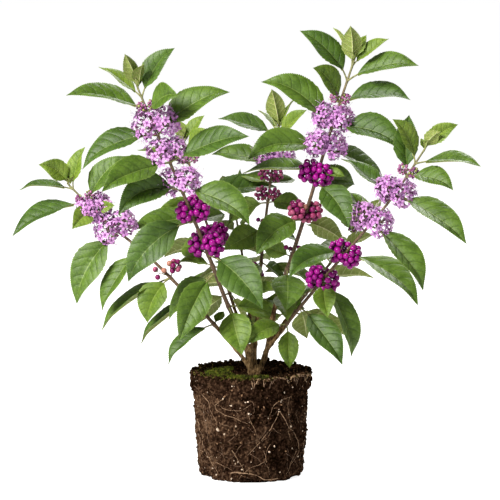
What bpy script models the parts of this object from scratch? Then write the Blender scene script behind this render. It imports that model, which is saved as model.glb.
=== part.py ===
"""A young beautyberry shrub standing on its bare root ball, as lifted out of a small nursery pot.

Lengths are in metres unless a name says otherwise, +Z is up, and the origin is the middle of the flat
underside of the root ball. The broad side of the crown faces -Y. Compass bearings are in degrees, 0 towards
+X and 90 towards +Y, which is the back.
"""

import math
import random
from collections import namedtuple

import bmesh
import bpy
import numpy as np
from mathutils import Matrix, Vector
from mathutils.bvhtree import BVHTree

UP = Vector((0, 0, 1))
CLEARANCE = 0.0003

# Root ball: the shape that the inside of a pot with a stepped rim leaves in the compost.
BALL_HEIGHT = 0.1135
BALL_FOOT_RADIUS = 0.0563
BALL_WAIST_RADIUS = 0.0625
RIM_RADIUS = 0.0662
RIM_STEP_HEIGHT = 0.0945
SOIL_LEVEL = 0.1090
BALL_SIDES = 32
BALL_ROUGHNESS = 0.0007
DRAIN_SLOTS = 6
DRAIN_SLOT = Vector((0.0190, 0.0100, 0.0095))

# Moss lies on the compost in a bent strip round the left of the stems.
MOSS_INNER_RADIUS = 0.0170
MOSS_OUTER_RADIUS = 0.0540
MOSS_THICKNESS = 0.0035
MOSS_FROM, MOSS_TO = 125, 300

# The woody foot that all stems share, and the sawn stub of an older stem.
CROWN_CENTRE = Vector((0.0040, 0.0010, SOIL_LEVEL + CLEARANCE))
CROWN_RADIUS = 0.0074
CROWN_HEIGHT = 0.0110
STUB_FOOT = Vector((0.0005, -0.0030, CROWN_CENTRE.z + 0.002))
STUB_TOP = Vector((-0.0018, -0.0048, 0.1425))
STUB_RADIUS = 0.0034
STEM_SIDES = 6
STEM_STEP = 0.027

# Leaves are ovate, drawn out to a point, folded up along the midrib and arched down by their weight.
PETIOLE_SHARE = 0.16
WIDTH_WHEN_YOUNG, WIDTH_WHEN_GROWN = 0.55, 0.43
GROWN_LEAF = 0.105
LEAF_FOLD = math.radians(14)
LEAF_THICKNESS_SHARE = 0.013
LEAF_LEAST_THICKNESS = 0.0009
PETIOLE_HALF_WIDTH = 0.0009
LONG_LEAF_STATIONS = (0.18, 0.47, 0.75)
SHORT_LEAF_STATIONS = (0.28, 0.64)
SHORT_LEAF = 0.075
MOST_ROLL = math.radians(80)

# The pairs past this share of a stem's length grow out of one tip and may touch.
TIP_SHARE = 0.88

# Fruit and blossom sit in rounded heads, one in the axil of each leaf, a little longer along the stem than
# across.
Crop = namedtuple("Crop", "radius reach rise")
CROPS = {
    "ripe": Crop(radius=0.0140, reach=0.0066, rise=0.0120),
    "turning": Crop(radius=0.0116, reach=0.0092, rise=0.0105),
    "few": Crop(radius=0.0056, reach=0.0054, rise=0.0090),
    "unripe": Crop(radius=0.0086, reach=0.0078, rise=0.0100),
    "blossom": Crop(radius=0.0150, reach=0.0094, rise=0.0125),
    "bud": Crop(radius=0.0064, reach=0.0058, rise=0.0070),
}
SMALL_CROPS = ("bud", "few")
HEAD_STRETCH = 1.12
FLATTEN = 0.45

# One stem: the points it passes through, its radius at foot and tip, the shares of its length at which it
# leaves the shared foot, bears its first leaves and passes from its lower to its upper foliage, the way that
# its leaves turn their faces, and its pairs of leaves.
Stem = namedtuple("Stem", "knots foot_radius tip_radius fork leafy split face pairs")

# One pair of opposite leaves: the share of the stem's length where it grows, the crop in its axils and, as a
# share of the usual, how far that crop's heads rise above the axils.
Pair = namedtuple("Pair", "share crop one two rise", defaults=(1.0,))

# What one leaf is asked for: its bearing, the rise of its chord above the level, its length in millimetres,
# stalk included, how far its face leans from straight up towards the stem's face, how far it arches from
# stalk to tip, and its width as a share of the blade's length. The last two go by its length if not given.
Blade = namedtuple("Blade", "bearing lift length lean arch width", defaults=(38, None, None))

Leaf = namedtuple("Leaf", "stem mass pair_number base bearing lift length roll droop width")
Head = namedtuple("Head", "stem mass pair_number crop centre heading radius")

FRONT, BACK = Vector((0, -1, 0)), Vector((0, 1, 0))


def regular_pairs(crops, first_turn, reach, seed):
    """Pairs set crosswise up a stem, the lower leaves hanging and the young ones rising."""
    rng = random.Random(seed)
    pairs = []
    for number, crop in enumerate(crops):
        climb = number / (len(crops) - 1)
        share = 0.36 + 0.64 * climb**0.9
        turn = first_turn + 90 * number + rng.uniform(-14, 14)
        length = reach * (1.0 - 0.50 * climb**2) * rng.uniform(0.92, 1.08)
        lift = -16 + 66 * climb
        one = Blade(turn, lift + rng.uniform(-7, 7), length)
        two = Blade(turn + 180, lift + rng.uniform(-7, 7), length * rng.uniform(0.88, 1.0))
        pairs.append(Pair(share, crop, one, two))
    return pairs


STEMS = {
    "left_low": Stem(
        knots=[(0.001, -0.004), (-0.009, -0.002, 0.128), (-0.049, 0.006, 0.173), (-0.105, 0.018, 0.230),
               (-0.160, 0.028, 0.275), (-0.198, 0.034, 0.312)],
        foot_radius=0.0027, tip_radius=0.0011, fork=0.11, leafy=0.225, split=0.69, face=FRONT,
        pairs=[
            Pair(0.24, None, Blade(-159, -35, 70, 10, 46), Blade(60, 30, 24)),
            Pair(0.37, None, Blade(176, -40, 76, 10, 28), Blade(80, -20, 50)),
            Pair(0.48, "turning", Blade(-154, -74, 60, 30, 66, 0.64), Blade(178, -36, 98, 10, 34)),
            Pair(0.635, None, Blade(-157, -54, 82, 10, 46), Blade(56, 3, 56)),
            Pair(0.745, "blossom", Blade(-163, -58, 94, 40, 46), Blade(70, 10, 50), rise=0.5),
            Pair(0.865, "blossom", Blade(-124, -22, 44, 70, 60, 0.58), Blade(-27, 17, 26, 80), rise=0.2),
            Pair(0.905, "bud", Blade(-172, -22, 92, 20, 46), Blade(6, 50, 70, 30, 46)),
            Pair(0.98, None, Blade(-176, 3, 60, 10, 28), Blade(20, 76, 50, 10, 40)),
            Pair(1.00, None, Blade(-149, 34, 46, 70, 60, 0.58), Blade(150, 61, 24)),
        ],
    ),
    "left_tall": Stem(
        knots=[(0.001, 0.000), (-0.005, 0.001, 0.141), (-0.026, -0.020, 0.191), (-0.045, -0.040, 0.244),
               (-0.072, -0.058, 0.314), (-0.106, -0.066, 0.395), (-0.119, -0.068, 0.426)],
        foot_radius=0.0031, tip_radius=0.0011, fork=0.13, leafy=0.235, split=0.64, face=FRONT,
        pairs=[
            Pair(0.245, None, Blade(-68, -50, 62, 60, 34, 0.61), Blade(19, -16, 66, 50, 34)),
            Pair(0.37, None, Blade(-133, -51, 90, 70, 52), Blade(166, -43, 76, 40, 28)),
            Pair(0.395, None, Blade(-176, 10, 38, 30, 34, 0.45), Blade(24, -32, 58, 50, 34)),
            Pair(0.435, "ripe", Blade(-43, -32, 96, 60, 46, 0.48), Blade(139, -14, 50, 66, 40, 0.64)),
            Pair(0.555, "ripe", Blade(-170, -41, 102, 60, 64), Blade(52, 3, 54, 60, 20, 0.50)),
            Pair(0.655, "blossom", Blade(-28, -19, 92, 40, 64, 0.51), Blade(-148, -14, 88, 62, 84)),
            Pair(0.755, "blossom", Blade(-141, -14, 92, 50, 20), Blade(-23, 20, 96, 40, 20)),
            Pair(0.845, "blossom", Blade(-175, -22, 92, 30, 52), Blade(0, 33, 93, 40, 52, 0.47)),
            Pair(0.92, "bud", Blade(-167, 14, 92, 30, 40), Blade(-54, 22, 60, 60, 64, 0.565)),
            Pair(0.97, None, Blade(176, 37, 56, 20, 16, 0.45), Blade(0, 58, 64, 30, 34)),
            Pair(1.00, None, Blade(-136, 63, 42, 40, 10), Blade(-72, 58, 34, 20, 50, 0.575)),
        ],
    ),
    "middle": Stem(
        knots=[(0.004, 0.004), (0.005, 0.010, 0.142), (0.012, 0.040, 0.235), (0.021, 0.060, 0.310),
               (0.030, 0.074, 0.371)],
        foot_radius=0.0027, tip_radius=0.0011, fork=0.14, leafy=0.27, split=0.761, face=FRONT,
        pairs=[
            Pair(0.30, None, Blade(-60, -14, 60), Blade(118, -38, 56)),
            Pair(0.45, None, Blade(-115, -17, 62), Blade(49, -36, 62)),
            Pair(0.59, "few", Blade(-141, -18, 60, 70, 20, 0.555), Blade(45, -20, 60)),
            Pair(0.695, "unripe", Blade(153, -27, 60, 50, 46), Blade(-39, -5, 50, 50, 40, 0.535)),
            Pair(0.775, "unripe", Blade(50, 2, 44), Blade(136, 7, 46)),
            Pair(0.85, "blossom", Blade(165, 10, 72, 30, 20), Blade(60, 8, 50)),
            Pair(0.975, None, Blade(178, 17, 68, 30, 16), Blade(-28, 40, 46, 40, 16)),
            Pair(0.99, None, Blade(129, 33, 40, -20, 16), Blade(49, 52, 44, -20, 16)),
            Pair(1.00, None, Blade(-150, 79, 46, 50, 28, 0.555), Blade(80, 66, 30)),
        ],
    ),
    "right_tall": Stem(
        knots=[(0.008, -0.004), (0.017, -0.005, 0.136), (0.027, -0.008, 0.188), (0.040, -0.014, 0.228),
               (0.056, -0.022, 0.279), (0.067, -0.026, 0.316), (0.085, -0.032, 0.378),
               (0.109, -0.038, 0.452)],
        foot_radius=0.0033, tip_radius=0.0012, fork=0.15, leafy=0.25, split=0.695, face=FRONT,
        pairs=[
            Pair(0.27, None, Blade(-81, -27, 56), Blade(127, -20, 58)),
            Pair(0.34, None, Blade(-92, -38, 60, 70, 20, 0.68), Blade(44, -28, 58)),
            Pair(0.38, "few", Blade(137, 10, 44, 70, 14), Blade(20, -19, 44)),
            Pair(0.50, "turning", Blade(-135, -23, 82, 50, 64, 0.50), Blade(33, -27, 60, 90, 20)),
            Pair(0.615, "ripe", Blade(-49, -38, 72, 50, 64, 0.51), Blade(38, -4, 60, 70, 58, 0.60)),
            Pair(0.66, None, Blade(154, -3, 92, 20, 20), Blade(-20, -10, 30)),
            Pair(0.72, "blossom", Blade(-160, -3, 92, 40, 60), Blade(25, -29, 90, 34, 52), rise=0.6),
            Pair(0.79, "blossom", Blade(-24, -13, 90, 42, 62, 0.49), Blade(178, 35, 95, 40, 56)),
            Pair(0.865, "bud", Blade(-18, 6, 82, 32, 54, 0.49), Blade(-144, 50, 56, 40, 60, 0.60)),
            Pair(0.94, None, Blade(-17, 15, 82, 30, 42), Blade(176, 47, 76, 30, 50)),
            Pair(0.985, None, Blade(-103, 76, 46, 40, 16, 0.58), Blade(4, 39, 50, 20, 28)),
            Pair(1.00, None, Blade(144, 55, 44, -20, 14, 0.50), Blade(39, 58, 34, 30, 30, 0.40)),
        ],
    ),
    "right_low": Stem(
        knots=[(0.008, -0.003), (0.017, -0.005, 0.135), (0.034, -0.013, 0.160), (0.052, -0.022, 0.185),
               (0.094, -0.045, 0.240), (0.146, -0.068, 0.306), (0.182, -0.080, 0.362)],
        foot_radius=0.0025, tip_radius=0.0011, fork=0.16, leafy=0.195, split=0.622, face=FRONT,
        pairs=[
            Pair(0.21, None, Blade(-75, -75, 50, 60, 50, 0.535), Blade(-145, -17, 56, 50, 46)),
            Pair(0.29, None, Blade(-46, -39, 86, 40, 30), Blade(74, -55, 46, 50, 14, 0.66)),
            Pair(0.42, "ripe", Blade(-23, -65, 92, 10, 46), Blade(-81, -46, 48, 70, 14, 0.60), rise=0.1),
            Pair(0.545, "ripe", Blade(-29, -28, 104, 10, 48), Blade(-143, -13, 82, 40, 62), rise=0.1),
            Pair(0.68, "blossom", Blade(-34, -42, 98, 20, 52), Blade(114, 34, 60, -10, 24), rise=0.6),
            Pair(0.81, "blossom", Blade(-32, -26, 102, 20, 46), Blade(148, 33, 74, 20, 14, 0.40), rise=0.5),
            Pair(0.89, "bud", Blade(-36, -8, 62, 40, 56, 0.51), Blade(80, 71, 70, 0, 40, 0.45)),
            Pair(0.945, None, Blade(-24, 2, 74, 20, 28), Blade(-159, 62, 56, 30, 46)),
            Pair(1.00, None, Blade(-32, 47, 30, 70, 50, 0.60), Blade(2, 38, 46, 60, 40)),
        ],
    ),
    "back_left": Stem(
        knots=[(-0.001, 0.006), (-0.009, 0.018, 0.148), (-0.034, 0.048, 0.225), (-0.060, 0.072, 0.300),
               (-0.074, 0.082, 0.357)],
        foot_radius=0.0024, tip_radius=0.0010, fork=0.14, leafy=0.30, split=0.66, face=BACK,
        pairs=[
            Pair(0.34, None, Blade(143, -39, 76), Blade(-30, -43, 72)),
            Pair(0.46, None, Blade(-123, -19, 72), Blade(57, -20, 66)),
            Pair(0.55, "ripe", Blade(148, -14, 70), Blade(28, -12, 66)),
            Pair(0.675, "ripe", Blade(-162, -7, 86, -40, 14), Blade(80, 8, 62)),
            Pair(0.77, None, Blade(-6, 5, 92, -30, 16), Blade(-172, -28, 58, -80, 14, 0.38)),
            Pair(0.90, "bud", Blade(-179, 18, 60, -20, 14), Blade(110, 15, 46)),
            Pair(0.97, None, Blade(-41, 37, 38, -50, 22), Blade(126, 59, 36, -40, 14)),
            Pair(1.00, None, Blade(-150, 66, 26), Blade(4, 53, 36, -30, 14)),
        ],
    ),
    "back_middle": Stem(
        knots=[(0.003, 0.010), (0.001, 0.026, 0.142), (-0.006, 0.072, 0.205), (-0.020, 0.128, 0.288)],
        foot_radius=0.0024, tip_radius=0.0010, fork=0.15, leafy=0.32, split=0.65, face=BACK,
        pairs=regular_pairs([None, "ripe", None, "few", None, "bud", None], 50, 74, seed=5),
    ),
    "back_right": Stem(
        knots=[(0.009, 0.006), (0.020, 0.014, 0.140), (0.062, 0.048, 0.192), (0.126, 0.094, 0.266)],
        foot_radius=0.0024, tip_radius=0.0010, fork=0.17, leafy=0.32, split=0.545, face=BACK,
        pairs=regular_pairs([None, None, "few", None, "few", "bud", None], 155, 76, seed=2),
    ),
}


class Path:
    """A smooth curve through its knots, read by the share of its length."""

    PER_SPAN = 12

    def __init__(self, knots):
        foot = (*knots[0], CROWN_CENTRE.z) if len(knots[0]) == 2 else knots[0]
        knots = np.array([foot, *knots[1:]], float)
        ends = np.vstack([2 * knots[0] - knots[1], knots, 2 * knots[-1] - knots[-2]])
        points = []
        for a, b, c, d in zip(ends, ends[1:], ends[2:], ends[3:]):
            for t in np.linspace(0, 1, self.PER_SPAN, endpoint=False):
                bend = 2 * b + (c - a) * t + (2 * a - 5 * b + 4 * c - d) * t**2
                points.append((bend + (3 * b - a - 3 * c + d) * t**3) / 2)
        self.points = np.array([*points, knots[-1]])
        steps = np.linalg.norm(np.diff(self.points, axis=0), axis=1)
        self.reached = np.concatenate([[0], np.cumsum(steps)])
        self.length = float(self.reached[-1])

    def at(self, share):
        reached = share * self.length
        return Vector([np.interp(reached, self.reached, self.points[:, axis]) for axis in range(3)])

    def heading(self, share):
        step = 0.004 / self.length
        return (self.at(min(1, share + step)) - self.at(max(0, share - step))).normalized()


PATHS = {name: Path(stem.knots) for name, stem in STEMS.items()}


def mass_name(stem_name, share):
    part = "lower" if share < STEMS[stem_name].split else "upper"
    return f"{stem_name}_{part}_foliage"


def stem_radius(stem, share):
    return stem.tip_radius + (stem.foot_radius - stem.tip_radius) * (1 - share) ** 0.8


def level(bearing):
    angle = math.radians(bearing)
    return Vector((math.cos(angle), math.sin(angle), 0))


def droop_of(length):
    """How far a leaf arches from stalk to tip: hardly at all when young, and most when full grown."""
    return math.radians(min(52, max(10, (length * 1000 - 34) * 1.0)))


def leaf_frame(leaf, share):
    """The point on the midrib at a share of the leaf's length, and its along, side and face directions."""
    out, droop = level(leaf.bearing), leaf.droop
    start = math.radians(leaf.lift) + droop / 2
    here = start - droop * share
    run = (math.sin(start) - math.sin(here)) / droop
    climb = (math.cos(here) - math.cos(start)) / droop
    point = leaf.base + leaf.length * (run * out + climb * UP)
    along = math.cos(here) * out + math.sin(here) * UP
    side, face = UP.cross(out), -math.sin(here) * out + math.cos(here) * UP
    turned = math.cos(leaf.roll) * side + math.sin(leaf.roll) * face
    return point, along, turned, along.cross(turned)


def roll_towards(hint, bearing, lift):
    """How far a blade turns about its midrib so that its face looks along the hint."""
    out, rise = level(bearing), math.radians(lift)
    side, face = UP.cross(out), -math.sin(rise) * out + math.cos(rise) * UP
    roll = math.atan2(-hint.dot(side), hint.dot(face))
    if abs(roll) > math.pi / 2:
        roll -= math.copysign(math.pi, roll)
    return max(-MOST_ROLL, min(MOST_ROLL, roll))


def leaf_width(length):
    """Width of a blade as a share of its length; young leaves are the rounder."""
    return WIDTH_WHEN_YOUNG + (WIDTH_WHEN_GROWN - WIDTH_WHEN_YOUNG) * min(1, length / GROWN_LEAF)


def half_width(share):
    """The blade's half width as a share of its greatest, from leaf stalk at 0 to tip at 1."""
    swell, taper = 1.10, 1.30
    widest = swell / (swell + taper)
    return (share / widest) ** swell * ((1 - share) / (1 - widest)) ** taper


def leaf_of(name, number, blade, turn, tip, twist):
    """One leaf as asked for, turned and tipped by so many degrees."""
    stem, length = STEMS[name], blade.length / 1000
    share, lean = stem.pairs[number].share, math.radians(blade.lean)
    hint = math.cos(lean) * UP + math.sin(lean) * stem.face
    return Leaf(name, mass_name(name, share), number, PATHS[name].at(share), blade.bearing + turn,
                blade.lift + tip, length, roll_towards(hint, blade.bearing + turn, blade.lift + tip) + twist,
                droop_of(length) if blade.arch is None else math.radians(blade.arch),
                blade.width or leaf_width(length))


def leaf_rings(leaf, grow=0.0):
    """The sections that a leaf's solid is drawn through; grow makes it stouter all round."""
    blade = leaf.length * (1 - PETIOLE_SHARE)
    thick = max(LEAF_LEAST_THICKNESS, LEAF_THICKNESS_SHARE * leaf.length) / 2 + grow
    rings = []
    for share in (0.0, PETIOLE_SHARE):
        point, _, side, face = leaf_frame(leaf, share)
        half = PETIOLE_HALF_WIDTH + grow
        rings.append([point - side * half, point - face * half, point + side * half, point + face * half])
    for station in LONG_LEAF_STATIONS if leaf.length > SHORT_LEAF else SHORT_LEAF_STATIONS:
        point, _, side, face = leaf_frame(leaf, PETIOLE_SHARE + station * (1 - PETIOLE_SHARE))
        half = blade * leaf.width / 2 * half_width(station) + grow
        across, raised = side * half * math.cos(LEAF_FOLD), face * half * math.sin(LEAF_FOLD)
        edges = (point - across + raised, point + across + raised)
        rings.append([edges[0], point - face * thick, edges[1], point + face * thick])
    rings.append([leaf_frame(leaf, 1.0)[0] + leaf_frame(leaf, 1.0)[1] * grow])
    return rings


def loft(rings):
    """A closed mesh through rings of equal count; a ring of one point closes an end, others get a cap."""
    mesh = bmesh.new()
    rows = [[mesh.verts.new(point) for point in ring] for ring in rings]
    for low, high in zip(rows, rows[1:]):
        sides = max(len(low), len(high))
        for i in range(sides):
            j = (i + 1) % sides
            corners = [low[i % len(low)], low[j % len(low)], high[j % len(high)], high[i % len(high)]]
            mesh.faces.new(list(dict.fromkeys(corners)))
    for row in (rows[0], rows[-1]):
        if len(row) > 2:
            mesh.faces.new(row)
    bmesh.ops.recalc_face_normals(mesh, faces=mesh.faces)
    return mesh


def ring_about(point, along, radius, sides):
    side = along.cross(Vector((0, 1, 0))).normalized()
    front = side.cross(along)
    turns = [2 * math.pi * i / sides for i in range(sides)]
    return [point + radius * (math.cos(t) * side + math.sin(t) * front) for t in turns]


def stem_rings(name, start, end, sides=STEM_SIDES):
    """Sections of one stem between two shares of its length, with a level cut at the foot."""
    stem, path = STEMS[name], PATHS[name]
    count = max(3, round((end - start) * path.length / STEM_STEP) + 1)
    rings = []
    for share in np.linspace(start, end, count).tolist():
        off_foot = min(1.0, share * path.length / 0.010)
        along = UP.lerp(path.heading(share), off_foot).normalized()
        rings.append(ring_about(path.at(share), along, stem_radius(stem, share), sides))
    return rings


def head_of(name, number, pair, bearing, rng):
    """Where the head in one leaf's axil lies. Its stalk rises between the stem and the upright, and heads
    spread mostly along the crown's broad side."""
    crop, path = CROPS[pair.crop], PATHS[name]
    node, heading = path.at(pair.share), (path.heading(pair.share) + UP).normalized()
    out = level(bearing)
    out = Vector((out.x, out.y * FLATTEN, 0)).normalized()
    out = (out - heading * out.dot(heading)).normalized()
    size = rng.uniform(0.94, 1.05)
    centre = node + (out * crop.reach + heading * crop.rise * pair.rise) * size
    return Head(name, mass_name(name, pair.share), number, pair.crop, centre, heading, crop.radius * size)


def tree_of(mesh):
    tree = BVHTree.FromBMesh(mesh)
    low = [min(v.co[axis] for v in mesh.verts) for axis in range(3)]
    high = [max(v.co[axis] for v in mesh.verts) for axis in range(3)]
    mesh.free()
    return tree, low, high


def head_mesh(head, knobbed=True):
    """One head: a ball drawn out along the stem, with a knob on each face for its berries or flowers."""
    mesh = bmesh.new()
    bmesh.ops.create_icosphere(mesh, subdivisions=1, radius=head.radius * (0.92 if knobbed else 1.0))
    if knobbed:
        knobs = bmesh.ops.poke(mesh, faces=mesh.faces)["verts"]
        for vert in knobs:
            vert.co = vert.co.normalized() * head.radius
    for vert in mesh.verts:
        vert.co.z *= HEAD_STRETCH
    lean = UP.rotation_difference(head.heading).to_matrix().to_4x4()
    mesh.transform(Matrix.Translation(head.centre) @ lean)
    return mesh


def touches(one, two):
    apart = any(one[1][k] > two[2][k] or two[1][k] > one[2][k] for k in range(3))
    return not apart and bool(one[0].overlap(two[0]))


def crowded(part, other, reach):
    """Whether two parts grow so near each other on one twig that they may touch, as all do at its tip."""
    at_tip = all(STEMS[one.stem].pairs[one.pair_number].share > TIP_SHARE for one in (part, other))
    return part.mass == other.mass and (at_tip or abs(part.pair_number - other.pair_number) <= reach)


def grow_crown():
    """Every head and leaf. A leaf that would touch a limb, a head or another leaf is turned a little, and
    one that finds no room is left out."""
    rng = random.Random(11)
    wood = {name: tree_of(loft(stem_rings(name, 0.0, 1.0))) for name in STEMS}
    ground = tree_of(loft([ring_about(Vector((0, 0, z)), UP, RIM_RADIUS + 0.002, 16) for z in (0, 0.1165)]))
    heads = []
    for name, stem in STEMS.items():
        for number, pair in enumerate(stem.pairs):
            if pair.crop:
                heads += [head_of(name, number, pair, pair.one.bearing + turn, rng) for turn in (0, 180)]
    round_heads = [(head, tree_of(head_mesh(head))) for head in heads]
    turns = (9, -9, 18, -18, 28, -28, 40, -40)
    nudges = [(0, 0)] + [(turn, tip) for turn in turns for tip in (0, 9, -9, 18)]
    grown = []
    for name, stem in STEMS.items():
        for number, pair in enumerate(stem.pairs):
            for blade in (pair.one, pair.two):
                twist = math.radians(rng.uniform(-4, 4))
                for turn, tip in nudges:
                    leaf = leaf_of(name, number, blade, turn, tip, twist)
                    tried = tree_of(loft(leaf_rings(leaf, grow=0.0008)))
                    near = [tree for other, tree in wood.items() if other != name] + [ground]
                    near += [tree for head, tree in round_heads if not crowded(leaf, head, reach=1)]
                    near += [tree for other, tree in grown if not crowded(leaf, other, reach=0)]
                    if not any(touches(tried, tree) for tree in near):
                        grown.append((leaf, tried))
                        break
    return heads, [leaf for leaf, _ in grown]


def paint(name, colour, roughness):
    material = bpy.data.materials.new(name)
    material.use_nodes = True
    shader = material.node_tree.nodes["Principled BSDF"]
    shader.inputs["Base Color"].default_value = (*colour, 1)
    shader.inputs["Roughness"].default_value = roughness
    shader.inputs["Metallic"].default_value = 0
    return material


def solid(name, mesh, material):
    data = bpy.data.meshes.new(name)
    bmesh.ops.triangulate(mesh, faces=mesh.faces)
    mesh.to_mesh(data)
    mesh.free()
    data.materials.append(material)
    made = bpy.data.objects.new(name, data)
    bpy.context.scene.collection.objects.link(made)
    return made


def keep_main_body(made):
    """Drops loose scraps and the walls of sealed hollows, so that one closed body is left."""
    mesh = bmesh.new()
    mesh.from_mesh(made.data)
    unseen, bodies = set(mesh.verts), []
    while unseen:
        front, body = [unseen.pop()], set()
        while front:
            vert = front.pop()
            body.add(vert)
            for edge in vert.link_edges:
                other = edge.other_vert(vert)
                if other in unseen:
                    unseen.remove(other)
                    front.append(other)
        bodies.append(body)
    for body in sorted(bodies, key=len)[:-1]:
        bmesh.ops.delete(mesh, geom=list(body), context="VERTS")
    mesh.to_mesh(made.data)
    mesh.free()


def fuse(base, pieces, operation="UNION", solver="MANIFOLD"):
    """Joins the pieces to the base, or cuts them from it, with one Boolean, and removes them."""
    group = bpy.data.collections.new(base.name + "_pieces")
    bpy.context.scene.collection.children.link(group)
    for piece in pieces:
        bpy.context.scene.collection.objects.unlink(piece)
        group.objects.link(piece)
    joint = base.modifiers.new("join", "BOOLEAN")
    joint.operation, joint.solver = operation, solver
    joint.operand_type, joint.collection = "COLLECTION", group
    joint.material_mode = "TRANSFER"
    graph = bpy.context.evaluated_depsgraph_get()
    done = base.evaluated_get(graph)
    joined = bpy.data.meshes.new_from_object(done, preserve_all_data_layers=True, depsgraph=graph)
    base.modifiers.clear()
    base.data = joined
    for piece in pieces:
        bpy.data.objects.remove(piece)
    bpy.data.collections.remove(group)
    keep_main_body(base)
    return base


def make_root_ball(paints):
    """Pressed compost held by roots: a tapered drum with a stepped rim, a dished top and a notched foot."""
    rng = random.Random(3)
    outline = [
        (BALL_FOOT_RADIUS - 0.0015, 0.0), (BALL_FOOT_RADIUS, 0.0020), (0.0588, 0.0330), (0.0608, 0.0640),
        (BALL_WAIST_RADIUS, RIM_STEP_HEIGHT - 0.002), (RIM_RADIUS - 0.0018, RIM_STEP_HEIGHT + 0.0015),
        (RIM_RADIUS, BALL_HEIGHT - 0.0015), (RIM_RADIUS - 0.0020, BALL_HEIGHT),
        (0.0550, BALL_HEIGHT - 0.0018),
        (0.0340, SOIL_LEVEL + 0.0006), (0.0160, SOIL_LEVEL),
    ]
    rings = []
    for radius, height in outline:
        rough = BALL_ROUGHNESS if height > 0 and radius > 0.02 else 0
        ring = ring_about(Vector((0, 0, height)), UP, radius, BALL_SIDES)
        for point in ring:
            out = Vector((point.x, point.y, 0)).normalized()
            point += out * rng.uniform(-rough, rough)
            if height == BALL_HEIGHT:
                point.z += rng.uniform(-0.0010, 0.0016)
        rings.append(ring)
    ball = solid("root_ball", loft(rings), paints["compost"])
    cutters = []
    for number in range(DRAIN_SLOTS):
        out = level(-90 + 360 / DRAIN_SLOTS * number)
        place = Matrix.Translation(out * BALL_FOOT_RADIUS)
        turn = Vector((0, 1, 0)).rotation_difference(out).to_matrix().to_4x4()
        box = bmesh.new()
        bmesh.ops.create_cube(box, size=1.0, matrix=place @ turn @ Matrix.Diagonal((*DRAIN_SLOT, 1)))
        cutters.append(solid("slot", box, paints["compost"]))
    return fuse(ball, cutters, operation="DIFFERENCE")


def dish_height(radius):
    """The level of the compost's top at a distance from the middle."""
    return float(np.interp(radius, [0.016, 0.034, 0.054, 0.063], [0, 0.0006, 0.0027, 0.0045])) + SOIL_LEVEL


def make_moss(paints):
    """A bent cushion of moss that lies on the compost left of the stems."""
    rng = random.Random(8)
    rings = []
    for angle in np.linspace(MOSS_FROM, MOSS_TO, 15).tolist():
        taper = math.sin(math.pi * (angle - MOSS_FROM + 6) / (MOSS_TO - MOSS_FROM + 12)) ** 0.5
        middle = (MOSS_INNER_RADIUS + MOSS_OUTER_RADIUS) / 2
        reach = (MOSS_OUTER_RADIUS - MOSS_INNER_RADIUS) / 2 * taper
        inner, outer = middle - reach * rng.uniform(0.8, 1), middle + reach * rng.uniform(0.86, 1)
        ring = []
        for step, share in enumerate((0, 0.3, 0.7, 1, 0.65, 0.35)):
            radius = inner + (outer - inner) * share
            lift = 0.0009 if step in (0, 3) else 0
            if step in (4, 5):
                lift = MOSS_THICKNESS * rng.uniform(0.7, 1)
            ring.append(level(angle) * radius + UP * (dish_height(radius) + 0.0006 + lift))
        rings.append(ring)
    return solid("moss", loft(rings), paints["moss"])


def make_trunk(paints):
    """The shared woody foot: a flared crown, the first stretch of every stem, and the sawn stub."""
    flare = [(1.0, 0.0), (0.80, 0.35), (0.60, 1.0)]
    crown = []
    for wide, up in flare:
        crown.append(ring_about(CROWN_CENTRE + UP * CROWN_HEIGHT * up, UP, CROWN_RADIUS * wide, 10))
    base = solid("trunk", loft(crown), paints["wood"])
    lean = (STUB_TOP - STUB_FOOT).normalized()
    swell = [(0.0, 0.9), (0.45, 0.86), (0.8, 1.08), (1.0, 0.94)]
    stub = [ring_about(STUB_FOOT.lerp(STUB_TOP, up), lean, STUB_RADIUS * wide, 8) for up, wide in swell]
    pieces = [solid("stub", loft(stub), paints["wood"])]
    for name, stem in STEMS.items():
        pieces.append(solid("start", loft(stem_rings(name, 0.0, stem.fork)), paints["wood"]))
    return fuse(base, pieces)


def make_limb(name, paints):
    """The bare stretch of one stem, from the shared foot to its first leaves."""
    stem, gap = STEMS[name], CLEARANCE / PATHS[name].length
    return solid(f"{name}_limb", loft(stem_rings(name, stem.fork + gap, stem.leafy)), paints["wood"])


def make_foliage(name, part, heads, leaves, paints):
    """One mass of foliage: its stretch of stem with the leaves, flowers and berries that grow on it."""
    stem, gap = STEMS[name], CLEARANCE / PATHS[name].length
    start, end = (stem.leafy, stem.split) if part == "lower" else (stem.split, 1.0)
    node_name = f"{name}_{part}_foliage"
    twig = solid(node_name, loft(stem_rings(name, start + gap, end, sides=5)), paints["leaf"])
    pieces = []
    for leaf in leaves:
        if leaf.mass == node_name:
            pieces.append(solid("leaf", loft(leaf_rings(leaf)), paints["leaf"]))
    for head in heads:
        if head.mass == node_name:
            knobbed = stem.face is FRONT and head.crop not in SMALL_CROPS
            pieces.append(solid("head", head_mesh(head, knobbed), paints[head.crop]))
    return fuse(twig, pieces)


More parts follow.
